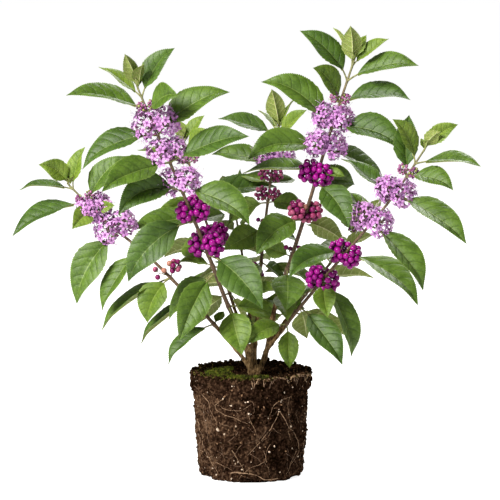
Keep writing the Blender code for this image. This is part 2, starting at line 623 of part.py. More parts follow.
def main():
    for old in list(bpy.data.objects):
        bpy.data.objects.remove(old)
    paints = {
        "compost": paint("compost", (0.045, 0.026, 0.015), 0.95),
        "moss": paint("moss", (0.075, 0.110, 0.020), 0.95),
        "wood": paint("wood", (0.150, 0.090, 0.050), 0.75),
        "leaf": paint("leaf", (0.110, 0.230, 0.050), 0.50),
        "ripe": paint("ripe_berry", (0.230, 0.010, 0.220), 0.25),
        "turning": paint("turning_berry", (0.420, 0.090, 0.160), 0.30),
        "few": paint("early_berry", (0.200, 0.015, 0.140), 0.30),
        "unripe": paint("unripe_berry", (0.300, 0.070, 0.200), 0.40),
        "blossom": paint("blossom", (0.500, 0.240, 0.620), 0.60),
        "bud": paint("bud", (0.380, 0.160, 0.300), 0.60),
    }
    heads, leaves = grow_crown()
    made = [make_root_ball(paints), make_moss(paints), make_trunk(paints)]
    for name in STEMS:
        made.append(make_limb(name, paints))
        made += [make_foliage(name, part, heads, leaves, paints) for part in ("lower", "upper")]
    plant = bpy.data.objects.new("beautyberry", None)
    bpy.context.scene.collection.objects.link(plant)
    for piece in made:
        piece.parent = plant
    asked = sum(2 * len(stem.pairs) for stem in STEMS.values())
    print(f"{len(leaves)} of {asked} leaves and {len(heads)} heads grow on {len(STEMS)} stems")


main()
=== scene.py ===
"""A young beautyberry shrub on its bare root ball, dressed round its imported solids.

Lengths are in metres unless a name says otherwise, +Z is up, and the origin is the middle of the flat
underside of the root ball. The broad side of the crown faces -Y. Compass bearings are in degrees, 0 towards
+X and 90 towards +Y, which is the back.
"""

import math
import random
from collections import namedtuple

import bmesh
import bpy
import numpy as np
from mathutils import Matrix, Vector, noise
from mathutils.bvhtree import BVHTree


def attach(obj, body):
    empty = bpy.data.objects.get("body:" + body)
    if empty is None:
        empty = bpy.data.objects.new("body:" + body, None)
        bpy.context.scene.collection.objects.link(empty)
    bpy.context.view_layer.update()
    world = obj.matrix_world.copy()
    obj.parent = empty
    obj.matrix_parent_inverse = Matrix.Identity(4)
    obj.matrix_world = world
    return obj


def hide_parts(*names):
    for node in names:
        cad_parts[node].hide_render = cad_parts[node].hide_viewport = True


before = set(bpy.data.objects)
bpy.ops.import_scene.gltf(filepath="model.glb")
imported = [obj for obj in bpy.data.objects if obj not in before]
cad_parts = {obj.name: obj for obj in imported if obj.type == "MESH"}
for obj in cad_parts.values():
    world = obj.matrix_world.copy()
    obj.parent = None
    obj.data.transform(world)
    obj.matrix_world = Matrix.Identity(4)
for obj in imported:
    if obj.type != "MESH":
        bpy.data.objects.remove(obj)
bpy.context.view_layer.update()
bpy.ops.object.select_all(action="DESELECT")


# The studio: a broad sheet of pale paper under the plant, a large soft lamp high on the left in front, a weak
# one on the right and one behind, white walls all round, and a camera a little above the crown's middle.
scene = bpy.context.scene
scene.view_settings.view_transform = "Standard"

looked_at = Vector((-0.001, 0.0, 0.2456))
camera_distance, camera_rise = 3.2, math.radians(7.5)
camera_place = looked_at + camera_distance * Vector((0, -math.cos(camera_rise), math.sin(camera_rise)))
bpy.ops.object.camera_add(location=camera_place, rotation=(math.pi / 2 - camera_rise, 0, 0))
camera = bpy.context.object
camera.data.sensor_width, camera.data.lens = 36, 212.7
camera.data.clip_start, camera.data.clip_end = 0.1, 100
scene.camera = camera

crown_middle = Vector((0, 0, 0.25))
for lamp_name, place, size, watts, tint in (
    ("key_lamp", (-1.50, -1.50, 1.80), 0.80, 150, (1.0, 0.985, 0.955)),
    ("fill_lamp", (1.70, -1.50, 0.90), 1.40, 4, (0.97, 0.985, 1.0)),
    ("back_lamp", (0.60, 1.60, 1.70), 1.00, 40, (1.0, 1.0, 0.97)),
):
    bpy.ops.object.light_add(type="AREA", location=place)
    lamp = bpy.context.object
    lamp.name = lamp_name
    lamp.rotation_euler = (crown_middle - lamp.location).to_track_quat("-Z", "Y").to_euler()
    lamp.data.size, lamp.data.energy, lamp.data.color = size, watts, tint

walls = bpy.data.worlds.new("white_walls")
walls.use_nodes = True
wall_light = walls.node_tree.nodes["Background"].inputs
wall_light["Color"].default_value, wall_light["Strength"].default_value = (1.0, 1.0, 1.0, 1), 0.28
scene.world = walls


class Wire:
    """One output socket in a material's nodes. Sums and products with it add Math nodes."""

    def __init__(self, tree, socket=None):
        self.tree, self.socket = tree, socket

    def add(self, kind, settings, inputs, output=0):
        """A new node: its settings first, then a value or a wire for each socket, by name or number."""
        made = self.tree.nodes.new(kind)
        for key, value in settings.items():
            setattr(made, key, value)
        for key, value in inputs.items():
            if isinstance(value, Wire):
                self.tree.links.new(value.socket, made.inputs[key])
            else:
                made.inputs[key].default_value = value
        return Wire(self.tree, made.outputs[output])

    def sum_of(self, operation, *values):
        return self.add("ShaderNodeMath", {"operation": operation}, dict(enumerate(values)))

    def __add__(self, other):
        return self.sum_of("ADD", self, other)

    def __sub__(self, other):
        return self.sum_of("SUBTRACT", self, other)

    def __rsub__(self, other):
        return self.sum_of("SUBTRACT", other, self)

    def __mul__(self, other):
        return self.sum_of("MULTIPLY", self, other)

    __radd__, __rmul__ = __add__, __mul__

    def __abs__(self):
        return self.sum_of("ABSOLUTE", self)

    def fraction(self):
        return self.sum_of("FRACT", self)

    def rise(self, low, high):
        """0 below low, 1 above high, and a soft slope between; high may be the lower of the two."""
        settings = {"interpolation_type": "SMOOTHSTEP"}
        return self.add("ShaderNodeMapRange", settings, {"Value": self, "From Min": low, "From Max": high})

    def between(self, first, second):
        """The first colour where this wire is 0, the second where it is 1."""
        first, second = (tone if isinstance(tone, Wire) else (*tone, 1) for tone in (first, second))
        return self.add("ShaderNodeMix", {"data_type": "RGBA"}, {0: self, 6: first, 7: second}, output=2)

    def ramp(self, *stops):
        """A colour for each height of this wire, from stops of a height and a colour."""
        made = self.add("ShaderNodeValToRGB", {}, {"Fac": self})
        elements = made.socket.node.color_ramp.elements
        for _ in stops[2:]:
            elements.new(0.5)
        for element, (position, colour) in zip(elements, stops):
            element.position, element.color = position, (*colour, 1)
        return made

    def noise(self, scale, detail=3.0, roughness=0.55):
        inputs = {"Vector": self, "Scale": scale, "Detail": detail, "Roughness": roughness}
        return self.add("ShaderNodeTexNoise", {"noise_dimensions": "3D"}, inputs)

    def drawn_out(self, share):
        """These places with the pattern on them drawn out upwards."""
        return self.add("ShaderNodeMapping", {}, {"Vector": self, "Scale": (1.0, 1.0, share)})

    def painted(self, axis):
        """One of the two numbers painted on a piece's corners."""
        return self.add("ShaderNodeUVMap", {"uv_map": "places"}, {}).part(axis)

    def part(self, axis):
        return self.add("ShaderNodeSeparateXYZ", {}, {"Vector": self}, output=axis)

    def bump(self, depth, shader):
        """Raises the surface that much where this wire is 1."""
        inputs = {"Height": self, "Distance": depth, "Strength": 1.0}
        self.add("ShaderNodeBump", {}, inputs).into(shader, "Normal")

    def into(self, shader, name):
        self.tree.links.new(self.socket, shader.inputs[name])


def new_finish(name, constants):
    """A material, its shader with the constants on its own sockets, and a wire of the piece's places."""
    material = bpy.data.materials.new(name)
    material.use_nodes = True
    shader = material.node_tree.nodes["Principled BSDF"]
    for key, value in constants.items():
        shader.inputs[key].default_value = value
    return material, shader, Wire(material.node_tree).add("ShaderNodeTexCoord", {}, {}, output="Object")


bpy.ops.mesh.primitive_plane_add(size=50, location=(0, 0, 0))
paper = bpy.context.object
paper.name = "paper_floor"
glow = {"Emission Color": (1, 1, 1, 1), "Emission Strength": 0.86}
paper_finish, shader, place = new_finish("pale_paper", {"Roughness": 0.9, "Specular IOR Level": 0.1, **glow})
place.noise(6.0, detail=2.0).between((0.47, 0.47, 0.465), (0.49, 0.49, 0.49)).into(shader, "Base Color")
paper.data.materials.append(paper_finish)


# Root ball: moist compost pressed by a tapered pot with a stepped rim and held together by the roots. It is
# drawn up ring by ring, its drain notches are cut out, and its skin is roughened lump by lump.

# Its outline as radii and heights, from the foot up and in over the dished top.
BALL_OUTLINE = [
    (0.0548, 0.0000), (0.0563, 0.0020), (0.0588, 0.0330), (0.0608, 0.0640), (0.0620, 0.0915),
    (0.0626, 0.0935), (0.0654, 0.0955), (0.0662, 0.1120), (0.0642, 0.1135), (0.0550, 0.1117),
    (0.0340, 0.1096), (0.0160, 0.1090),
]
FOOT_RADIUS, SIDE_RADIUS, RIM_RADIUS, SOIL_LEVEL = 0.0563, 0.061, 0.0662, 0.1090
DRAIN_SLOTS, DRAIN_SLOT = 6, (0.0190, 0.0100, 0.0095)
UP = Vector((0, 0, 1))


def level(bearing):
    angle = math.radians(bearing)
    return Vector((math.cos(angle), math.sin(angle), 0))


def pick(*pieces):
    """Selects these pieces alone, the first of them active."""
    bpy.ops.object.select_all(action="DESELECT")
    for piece in pieces:
        piece.select_set(True)
    bpy.context.view_layer.objects.active = pieces[0]


def joined(pieces):
    pick(*pieces)
    bpy.ops.object.join()
    bpy.ops.object.transform_apply()
    return bpy.context.object


bpy.ops.mesh.primitive_circle_add(vertices=96, radius=BALL_OUTLINE[0][0], fill_type="NGON")
ball = bpy.context.object
ball.name = "compost_ball"
bpy.ops.object.mode_set(mode="EDIT")
bpy.ops.mesh.select_all(action="SELECT")
for (radius, height), (next_radius, next_height) in zip(BALL_OUTLINE, BALL_OUTLINE[1:]):
    bpy.ops.mesh.extrude_region_move(TRANSFORM_OT_translate={"value": (0, 0, next_height - height)})
    ratio = next_radius / radius
    bpy.ops.transform.resize(value=(ratio, ratio, 1), center_override=(0, 0, next_height))
bpy.ops.mesh.select_all(action="SELECT")
bpy.ops.mesh.normals_make_consistent(inside=False)
bpy.ops.object.mode_set(mode="OBJECT")

notches = []
for number in range(DRAIN_SLOTS):
    bearing = -90 + 360 / DRAIN_SLOTS * number
    place, turn = level(bearing) * FOOT_RADIUS, (0, 0, math.radians(bearing + 90))
    bpy.ops.mesh.primitive_cube_add(size=1, location=place, rotation=turn, scale=DRAIN_SLOT)
    notches.append(bpy.context.object)
cutter = joined(notches)


def apply_modifiers(piece):
    pick(piece)
    for modifier in list(piece.modifiers):
        bpy.ops.object.modifier_apply(modifier=modifier.name)


def remesh(piece, voxel):
    skin = piece.modifiers.new("skin", "REMESH")
    skin.mode, skin.voxel_size, skin.use_smooth_shade = "VOXEL", voxel, True


def roughen(piece, kind, grain, strength, middle=0.5, depth=None):
    """Adds a relief: lumps of the kind and grain, that much higher or lower along the skin's normals."""
    pattern = bpy.data.textures.new(f"{piece.name}_{kind.lower()}", kind)
    pattern.noise_scale = grain
    if depth:
        pattern.noise_depth = depth
    relief = piece.modifiers.new("relief", "DISPLACE")
    relief.texture, relief.texture_coords = pattern, "LOCAL"
    relief.strength, relief.mid_level = strength, middle


def skin_of(piece):
    corners = [vert.co.copy() for vert in piece.data.vertices]
    return BVHTree.FromPolygons(corners, [tuple(face.vertices) for face in piece.data.polygons])


cut = ball.modifiers.new("notches", "BOOLEAN")
cut.operation, cut.solver, cut.object = "DIFFERENCE", "EXACT", cutter
remesh(ball, voxel=0.0012)
roughen(ball, "CLOUDS", grain=0.016, strength=0.0036, depth=1)
roughen(ball, "VORONOI", grain=0.0045, strength=-0.0030, middle=0.45)
roughen(ball, "CLOUDS", grain=0.0028, strength=0.0030, depth=2)
apply_modifiers(ball)
bpy.data.objects.remove(cutter)

bpy.ops.object.mode_set(mode="EDIT")
bpy.ops.mesh.select_all(action="SELECT")
bpy.ops.mesh.bisect(plane_co=(0, 0, 0.0002), plane_no=(0, 0, 1), clear_inner=True, use_fill=True)
bpy.ops.object.mode_set(mode="OBJECT")
bpy.ops.object.shade_smooth()
ball_skin = skin_of(ball)

# Black peat and brown bark fibre pressed against the pot, its left side made paler with painted light.
MATT = {"Roughness": 1.0, "Specular IOR Level": 0.0}
compost, shader, place = new_finish("moist_compost", MATT)
fibre = place.drawn_out(0.40).noise(420.0, detail=4.0, roughness=0.6)
flecks = place.noise(330.0, roughness=0.65)
# Painted light: the left side below the rim is lifted paler, where the key lamp falls on the ball.
left_side_painted_light = place.part("X").rise(0.010, -0.060) * place.part("Z").rise(0.104, 0.088)
# Painted shade: scattered spots are darkened as the shade inside the compost's holes.
painted_shade_pits = place.noise(190.0, roughness=0.7).rise(0.60, 0.68)
shade = 0.26 * fibre + 0.46 * flecks + 0.28 * place.noise(55.0) + 0.07 * left_side_painted_light - 0.12 * painted_shade_pits
shade.ramp(
    (0.41, (0.002, 0.001, 0.000)), (0.49, (0.011, 0.005, 0.003)), (0.56, (0.034, 0.018, 0.010)),
    (0.65, (0.110, 0.064, 0.037)),
).into(shader, "Base Color")
(0.6 * fibre + 0.7 * flecks).bump(0.0016, shader)
ball.data.materials.append(compost)
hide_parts("root_ball")
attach(ball, "root")


# Loose matter pressed into the ball: crumbs of peat and bark all over its skin and along its broken rim, and
# grains of white perlite. Each kind is one joined piece of small lumps sunk halfway into the compost.
SKIN_CRUMBS, RIM_CRUMBS, BACK_LUMPS, PERLITE_GRAINS = 1700, 420, 90, 150


class Heap:
    """Many small shapes gathered into one mesh, each with a finish number and perhaps painted places."""

    def __init__(self):
        self.corners, self.faces, self.finishes, self.places, self.count = [], [], [], [], 0

    def add(self, corners, faces, finish=0, places=None):
        corners = np.asarray(corners, float)
        self.corners.append(corners)
        self.faces += [tuple(self.count + corner for corner in face) for face in faces]
        self.finishes += [finish] * len(faces) if isinstance(finish, int) else list(finish)
        self.places.append(np.zeros((len(corners), 2)) if places is None else places)
        self.count += len(corners)

    def piece(self, name, finishes, smooth_angle=None):
        """The heap as one object. Its edges are smooth up to the angle in degrees, or all of them."""
        data = bpy.data.meshes.new(name)
        data.from_pydata(np.concatenate(self.corners), [], self.faces)
        for finish in finishes:
            data.materials.append(finish)
        data.polygons.foreach_set("material_index", self.finishes)
        data.polygons.foreach_set("use_smooth", [True] * len(data.polygons))
        corner_of = np.zeros(len(data.loops), int)
        data.loops.foreach_get("vertex_index", corner_of)
        places = np.concatenate(self.places)[corner_of]
        data.uv_layers.new(name="places").data.foreach_set("uv", places.ravel())
        data.update()
        made = bpy.data.objects.new(name, data)
        scene.collection.objects.link(made)
        if smooth_angle:
            pick(made)
            bpy.ops.object.shade_smooth_by_angle(angle=math.radians(smooth_angle))
        return made


def ball_shape(fineness):
    """Corners and faces of a round lump of radius 1."""
    mesh = bmesh.new()
    bmesh.ops.create_icosphere(mesh, subdivisions=fineness, radius=1.0)
    corners = np.array([vert.co[:] for vert in mesh.verts])
    faces = [tuple(vert.index for vert in face.verts) for face in mesh.faces]
    mesh.free()
    return corners, faces


LUMP = ball_shape(1)


def stray(rng):
    """A random vector that may point any way."""
    return Vector((rng.gauss(0, 1), rng.gauss(0, 1), rng.gauss(0, 1)))


def turned_about(rng):
    """A random turn as a 3 by 3 matrix for rows of corners."""
    axis = stray(rng).normalized()
    return np.array(Matrix.Rotation(rng.uniform(0, 2 * math.pi), 3, axis))


def drop_lump(heap, point, size, rng, finish, longer=1.6):
    corners, faces = LUMP
    jitter = np.array([[rng.uniform(0.72, 1.25)] for _ in corners])
    stretch = np.array([rng.uniform(0.6, 1), rng.uniform(0.7, 1.1), rng.uniform(0.8, longer)])
    heap.add(corners * jitter * stretch * size @ turned_about(rng).T + np.array(point), faces, finish)


def on_side(bearing, height, proud=0.0):
    """The point of the ball's side at a bearing and height."""
    out = level(bearing)
    found = ball_skin.ray_cast(out * 0.2 + UP * height, -out)[0]
    return (found or out * 0.062 + UP * height) + out * proud


def on_top(out, proud=0.0):
    """The point of the ball's top above the end of a level vector from its middle."""
    found = ball_skin.ray_cast(out + UP * 0.2, -UP)[0]
    return (found or out + UP * SOIL_LEVEL) + UP * proud


def anywhere_on_ball(rng, top_share):
    """A point of the ball's skin, on its top for that share of the calls and on its side for the rest."""
    if rng.random() < top_share:
        return on_top(level(rng.uniform(0, 360)) * 0.062 * math.sqrt(rng.uniform(0.05, 1)))
    return on_side(rng.uniform(0, 360), rng.uniform(0.002, 0.1125))


def front_bearing(x, radius):
    """The bearing of the spot that lies at x on the front of a ball of that radius."""
    return -90 + math.degrees(math.asin(x / radius))


def speckled(name, dark, pale, constants, specks, spread, relief, depth):
    """A finish with specks of two tones. Specks and relief are given by their scale and detail."""
    material, shader, place = new_finish(name, constants)
    place.noise(*specks).rise(*spread).between(dark, pale).into(shader, "Base Color")
    place.noise(*relief).bump(depth, shader)
    return material


rng = random.Random(21)
crumbs = Heap()
for _ in range(SKIN_CRUMBS):
    spot = anywhere_on_ball(rng, top_share=0.42)
    drop_lump(crumbs, spot, rng.choice((0.0005, 0.0007, 0.0010, 0.0013)), rng, rng.choice((0, 0, 0, 1, 1, 2)))
for _ in range(RIM_CRUMBS):
    out = level(rng.uniform(0, 360)) * rng.uniform(0.0600, 0.0655)
    spot = on_top(out, proud=rng.uniform(-0.0004, 0.0010))
    drop_lump(crumbs, spot, rng.uniform(0.0009, 0.0022), rng, rng.choice((0, 0, 1)))
for _ in range(BACK_LUMPS):
    spot = on_top(level(rng.uniform(35, 160)) * rng.uniform(0.042, 0.062), proud=rng.uniform(0.0, 0.0020))
    drop_lump(crumbs, spot, rng.uniform(0.0018, 0.0036), rng, 0, longer=1.3)
crumb_piece = crumbs.piece("peat_and_bark_crumbs", [
    speckled(name, dark, pale, MATT, (700.0, 2.0), (0.35, 0.65), (1500.0, 2.0), 0.0006)
    for name, dark, pale in (
        ("peat_crumbs", (0.005, 0.003, 0.001), (0.018, 0.010, 0.005)),
        ("bark_crumbs", (0.034, 0.017, 0.009), (0.086, 0.046, 0.025)),
        ("fibre_crumbs", (0.120, 0.064, 0.034), (0.220, 0.130, 0.072)),
    )
], smooth_angle=40)
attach(crumb_piece, "root")

rng = random.Random(5)
perlite = Heap()
for _ in range(PERLITE_GRAINS):
    spot = anywhere_on_ball(rng, top_share=0.14)
    drop_lump(perlite, spot, rng.choice((0.0005, 0.0006, 0.0008, 0.0010, 0.0013)), rng, 0, longer=1.2)
for x, height, size in ((-0.036, 0.057, 0.0019), (-0.029, 0.092, 0.0013), (-0.021, 0.085, 0.0013),
                        (0.030, 0.078, 0.0011), (-0.006, 0.089, 0.0011), (0.034, 0.010, 0.0013)):
    drop_lump(perlite, on_side(front_bearing(x, SIDE_RADIUS), height), size, rng, 0, longer=1.2)
grit, tones = (900.0, 2.0), ((0.34, 0.23, 0.14), (0.66, 0.54, 0.42))
chalk = speckled("perlite", *tones, {"Roughness": 0.85}, grit, (0.3, 0.7), grit, 0.0004)
perlite_piece = perlite.piece("perlite_grains", [chalk], smooth_angle=40)
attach(perlite_piece, "root")


# Rootlets: pale tan roots that met the pot's wall and ran down and round it, with a felt of finer ones along
# the front right of the rim. They are round strands that follow the ball's skin, half sunk in it.
SIDE_ROOTS, RIM_ROOTS = 96, 150
ROOT_STEP, RIM_ROOT_STEP = 0.0016, 0.0012

# The roots that stand out on the front: their radii in metres, and the places they pass, x and height in mm.
ROOT_RUNS = [
    (0.00038, [(-52, 93), (-46, 84), (-41, 72), (-37, 63), (-34, 55)]),
    (0.00048, [(-59, 63), (-54, 43), (-50, 29), (-44, 16), (-39, 8)]),
    (0.00044, [(31, 78), (21, 59), (12, 48), (5, 40), (-4, 31)]),
    (0.00044, [(31, 78), (41, 60), (50, 49), (55, 30), (47, 18)]),
    (0.00034, [(41, 60), (42, 50), (45, 44)]),
    (0.00040, [(-21, 36), (-14, 24), (-9, 16), (-9, 10)]),
    (0.00066, [(-24, 10), (-17, 12), (-11, 11), (3, 10), (13, 5), (20, 3), (32, 4)]),
    (0.00032, [(-39, 83), (-34, 88), (-30, 91)]),
    (0.00034, [(-36, 84), (-26, 80), (-12, 80), (-7, 82), (0, 87)]),
    (0.00030, [(-42, 20), (-30, 17), (-22, 14)]),
    (0.00030, [(14, 36), (17, 28), (18, 22)]),
]


def tube_faces(rings, sides):
    """The faces of a closed tube through so many rings of so many corners."""
    faces = []
    for low in range(0, (rings - 1) * sides, sides):
        for i in range(sides):
            j = (i + 1) % sides
            faces.append((low + i, low + j, low + sides + j, low + sides + i))
    last = (rings - 1) * sides
    return faces + [tuple(range(sides))[::-1], tuple(range(last, last + sides))]


def strand(points, radii, sides):
    """Corners and faces of a round strand through the points, as thick at each as its radius says."""
    points = np.asarray(points, float)
    along = np.gradient(points, axis=0)
    along /= np.linalg.norm(along, axis=1)[:, None] + 1e-12
    side = np.cross(along[0], (0.31, 0.87, 0.38))
    sideways = []
    for heading in along:
        side = side - heading * np.dot(side, heading)
        side = side / np.linalg.norm(side)
        sideways.append(side)
    sideways = np.array(sideways)
    front = np.cross(along, sideways)
    turns = 2 * np.pi * np.arange(sides) / sides
    radii = np.broadcast_to(np.asarray(radii, float), len(points))[:, None, None]
    rings = sideways[:, None] * np.cos(turns)[None, :, None] + front[:, None] * np.sin(turns)[None, :, None]
    rings = points[:, None] + radii * rings
    return rings.reshape(-1, 3), tube_faces(len(points), sides)


def bend(knots, span, t):
    """The point at share t of one span of a smooth curve through the knots."""
    ends = np.vstack([2 * knots[0] - knots[1], knots, 2 * knots[-1] - knots[-2]])
    a, b, c, d = ends[span:span + 4]
    return (2 * b + (c - a) * t + (2 * a - 5 * b + 4 * c - d) * t**2 + (3 * b - a - 3 * c + d) * t**3) / 2


def lengths_along(points):
    return np.concatenate([[0], np.cumsum(np.linalg.norm(np.diff(points, axis=0), axis=1))])


def smooth_run(knots, step):
    """Points a step apart on a smooth curve through the knots."""
    knots = np.asarray(knots, float)
    reached = lengths_along(knots)
    run = []
    for place in np.linspace(0, reached[-1], max(3, round(reached[-1] / step) + 1)):
        span = min(len(knots) - 2, int(np.searchsorted(reached, place, "right")) - 1)
        run.append(bend(knots, span, (place - reached[span]) / (reached[span + 1] - reached[span])))
    return np.array(run)


def lay_root(heap, run, radius, rng, finish):
    """One root along bearings and heights of the ball's side, thinner towards its end."""
    points = []
    for bearing, height in run:
        wobble = rng.uniform(-0.35, 0.35)
        points.append(on_side(bearing + wobble, max(0.003, height + wobble * 0.001), proud=radius * 0.35))
    for row in range(1, len(points) - 1):
        points[row] = (points[row - 1] + points[row] * 2 + points[row + 1]) / 4
    heap.add(*strand(points, radius * (1 - 0.55 * np.linspace(0, 1, len(run))), sides=5), finish)


rng = random.Random(14)
roots = Heap()
for radius, knots in ROOT_RUNS:
    scaled = [(front_bearing(x / 1000, 0.0615) * 0.001, height / 1000) for x, height in knots]
    lay_root(roots, smooth_run(scaled, ROOT_STEP) * (1000, 1), radius, rng, 0)
for _ in range(SIDE_ROOTS):
    bearing, height = rng.uniform(0, 360), rng.uniform(0.012, 0.104)
    turn, run = rng.uniform(-2.6, -0.5), []
    for _ in range(rng.randint(8, 30)):
        run.append((bearing, height))
        turn += rng.gauss(0, 0.22)
        bearing += math.degrees(ROOT_STEP * math.cos(turn) / SIDE_RADIUS)
        height += ROOT_STEP * math.sin(turn)
        if not 0.003 < height < 0.108:
            break
    if len(run) > 4:
        lay_root(roots, run, rng.uniform(0.00018, 0.00042), rng, rng.choice((0, 1, 1)))
for _ in range(RIM_ROOTS):
    bearing, reach = rng.uniform(-84, -8), rng.uniform(0.0565, 0.0655)
    turn, run = rng.uniform(-0.5, 0.5) + rng.choice((0, math.pi)), []
    for _ in range(rng.randint(6, 13)):
        run.append(on_top(level(bearing) * reach, proud=0.0003 + rng.uniform(0, 0.0006)))
        turn += rng.gauss(0, 0.5)
        bearing += math.degrees(RIM_ROOT_STEP * math.cos(turn) / 0.062)
        reach = min(0.0660, max(0.050, reach + RIM_ROOT_STEP * math.sin(turn)))
    roots.add(*strand(run, rng.uniform(0.00025, 0.00050), sides=4), rng.choice((0, 0, 1, 2)))
root_piece = roots.piece("rootlets", [
    speckled(name, dark, pale, {"Roughness": 0.75}, (260.0, 3.0), (0.35, 0.68), (1400.0, 2.0), 0.0003)
    for name, dark, pale in (
        ("pale_roots", (0.130, 0.070, 0.034), (0.300, 0.185, 0.100)),
        ("brown_roots", (0.070, 0.036, 0.018), (0.160, 0.088, 0.044)),
        ("golden_roots", (0.180, 0.100, 0.036), (0.360, 0.230, 0.095)),
    )
])
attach(root_piece, "root")


# Moss: a low cushion that has grown on the compost left of the stems and thins out along the front of the
# rim. The cushion is a lumpy bent strip, and thousands of short leafy shoots stand on it.
MOSS_INNER_RADIUS, MOSS_OUTER_RADIUS, MOSS_THICKNESS = 0.0170, 0.0540, 0.0035
MOSS_FROM, MOSS_TO, MOSS_ROWS, MOSS_SHOOTS = 125, 300, 40, 2100

# The cushion's cross section: shares of its width, and heights as shares of its rise.
MOSS_SECTION = ((0, -0.3), (0.3, -0.5), (0.7, -0.5), (1, -0.3), (0.85, 0.7), (0.5, 1), (0.15, 0.7))

rng = random.Random(8)
points = []
for angle in np.linspace(MOSS_FROM, MOSS_TO, MOSS_ROWS).tolist():
    taper = math.sin(math.pi * (angle - MOSS_FROM + 6) / (MOSS_TO - MOSS_FROM + 12)) ** 0.5
    middle = (MOSS_INNER_RADIUS + MOSS_OUTER_RADIUS) / 2
    reach = (MOSS_OUTER_RADIUS - MOSS_INNER_RADIUS) / 2 * taper
    inner, outer = middle - reach * rng.uniform(0.8, 1), middle + reach * rng.uniform(0.86, 1)
    for share, lift in MOSS_SECTION:
        out = level(angle) * (inner + (outer - inner) * share)
        points.append(on_top(out, proud=MOSS_THICKNESS * 0.6 * lift))
cushion = Heap()
cushion.add(points, [face[::-1] for face in tube_faces(MOSS_ROWS, len(MOSS_SECTION))])
downy = {"Roughness": 0.95, "Specular IOR Level": 0.1}
# The shaded moss finish is a darker copy of the moss and is painted shade: the cushion under the shoots wears
# it, and so do some tufts.
moss_finishes = [
    speckled(name, dark, pale, downy, (240.0, 3.0), (0.35, 0.65), (1300.0, 3.0), 0.0008)
    for name, dark, pale in (
        ("shaded_moss", (0.016, 0.017, 0.003), (0.044, 0.050, 0.007)),
        ("green_moss", (0.040, 0.056, 0.005), (0.110, 0.140, 0.012)),
        ("olive_moss", (0.070, 0.066, 0.009), (0.160, 0.150, 0.024)),
    )
]
moss = cushion.piece("moss_cushion", moss_finishes)
remesh(moss, voxel=0.0011)
roughen(moss, "CLOUDS", grain=0.0050, strength=0.0030, depth=2)
apply_modifiers(moss)
moss_skin = skin_of(moss)

tufts = Heap()
TUFT_FACES = [(0, 1, 3), (0, 3, 2), (1, 4, 3), (3, 4, 2), (0, 2, 1), (1, 2, 4)]


def plant_tuft(spot, height, rng, finish):
    """One shoot of moss: three small blades that spread from its foot."""
    for _ in range(3):
        out = level(rng.uniform(0, 360))
        lean = (UP + out * rng.uniform(0.3, 1.1)).normalized()
        side = lean.cross(out).normalized() * height * 0.22
        waist = spot + lean * height * 0.55
        tip = spot + lean * height + out * height * 0.2
        back = (out - UP * 0.4) * height * 0.12
        tufts.add([spot - UP * 0.0004, waist + side, waist - side, waist - back, tip], TUFT_FACES, finish)


for _ in range(MOSS_SHOOTS):
    out = level(rng.uniform(MOSS_FROM, MOSS_TO)) * rng.uniform(MOSS_INNER_RADIUS, MOSS_OUTER_RADIUS)
    found = moss_skin.ray_cast(out + UP * 0.2, -UP)[0]
    if found:
        lush = noise.noise(found * 110) + rng.gauss(0, 0.18)
        plant_tuft(found, rng.uniform(0.0011, 0.0026), rng, 1 if lush > 0.02 else 2 if lush > -0.22 else 0)
for start, end, count in ((196, 262, 330), (262, 318, 150), (95, 196, 160), (318, 340, 16)):
    for _ in range(count):
        out = level(rng.uniform(start, end)) * rng.uniform(0.0535, 0.0652)
        plant_tuft(on_top(out), rng.uniform(0.0010, 0.0022), rng, rng.choice((0, 1, 2, 2)))
tuft_piece = tufts.piece("moss_shoots", moss_finishes, smooth_angle=60)
for piece in (moss, tuft_piece):
    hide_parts("moss")
    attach(piece, "root")


# Woody stems: eight slender canes rise from one shared foot, with the sawn stub of an older cane between
# them. They are brown bark over wood, a little swollen at the old leaf scars, and knobbly where they join.
CLEARANCE = 0.0003
CROWN_CENTRE = Vector((0.0040, 0.0010, SOIL_LEVEL + CLEARANCE))
CROWN_RADIUS, CROWN_HEIGHT = 0.0074, 0.0110
STUB_FOOT = Vector((0.0005, -0.0030, CROWN_CENTRE.z + 0.002))
STUB_TOP = Vector((-0.0018, -0.0048, 0.1425))
STUB_RADIUS = 0.0034
STEM_SIDES, STEM_STEP = 6, 0.027
SCAR_SPACING, SWELLING_LENGTH = 0.065, 0.0022

# One stem: the points it passes through, its radius at foot and tip, the shares of its length at which it
# bears its first leaves and passes from its lower to its upper foliage, the way that its leaves turn their
# faces, and its pairs of leaves. The first point lies on the shared foot and has no height of its own.
Stem = namedtuple("Stem", "knots foot_radius tip_radius leafy split face pairs")

# One pair of opposite leaves: the share of the stem's length where it grows, its two leaves, the crop in
# their axils if there is one and, as a share of the usual, how far that crop's heads rise above the axils.
Pair = namedtuple("Pair", "share one two crop rise", defaults=(None, 1.0))

# What one leaf is asked for: its bearing, the rise of its chord above the level, its length in millimetres,
# stalk included, how far its face leans from straight up towards the stem's face, how far it arches from
# stalk to tip, and its width as a share of the blade's length. The last two go by its length if not given.
Blade = namedtuple("Blade", "bearing lift length lean arch width", defaults=(38, None, None))

FRONT, BACK = Vector((0, -1, 0)), Vector((0, 1, 0))


def pairs_of(*rows):
    """Pairs from rows of a share, what the two leaves are asked for, and a crop with perhaps its rise."""
    return [Pair(share, Blade(*one), Blade(*two), *crop) for share, one, two, *crop in rows]


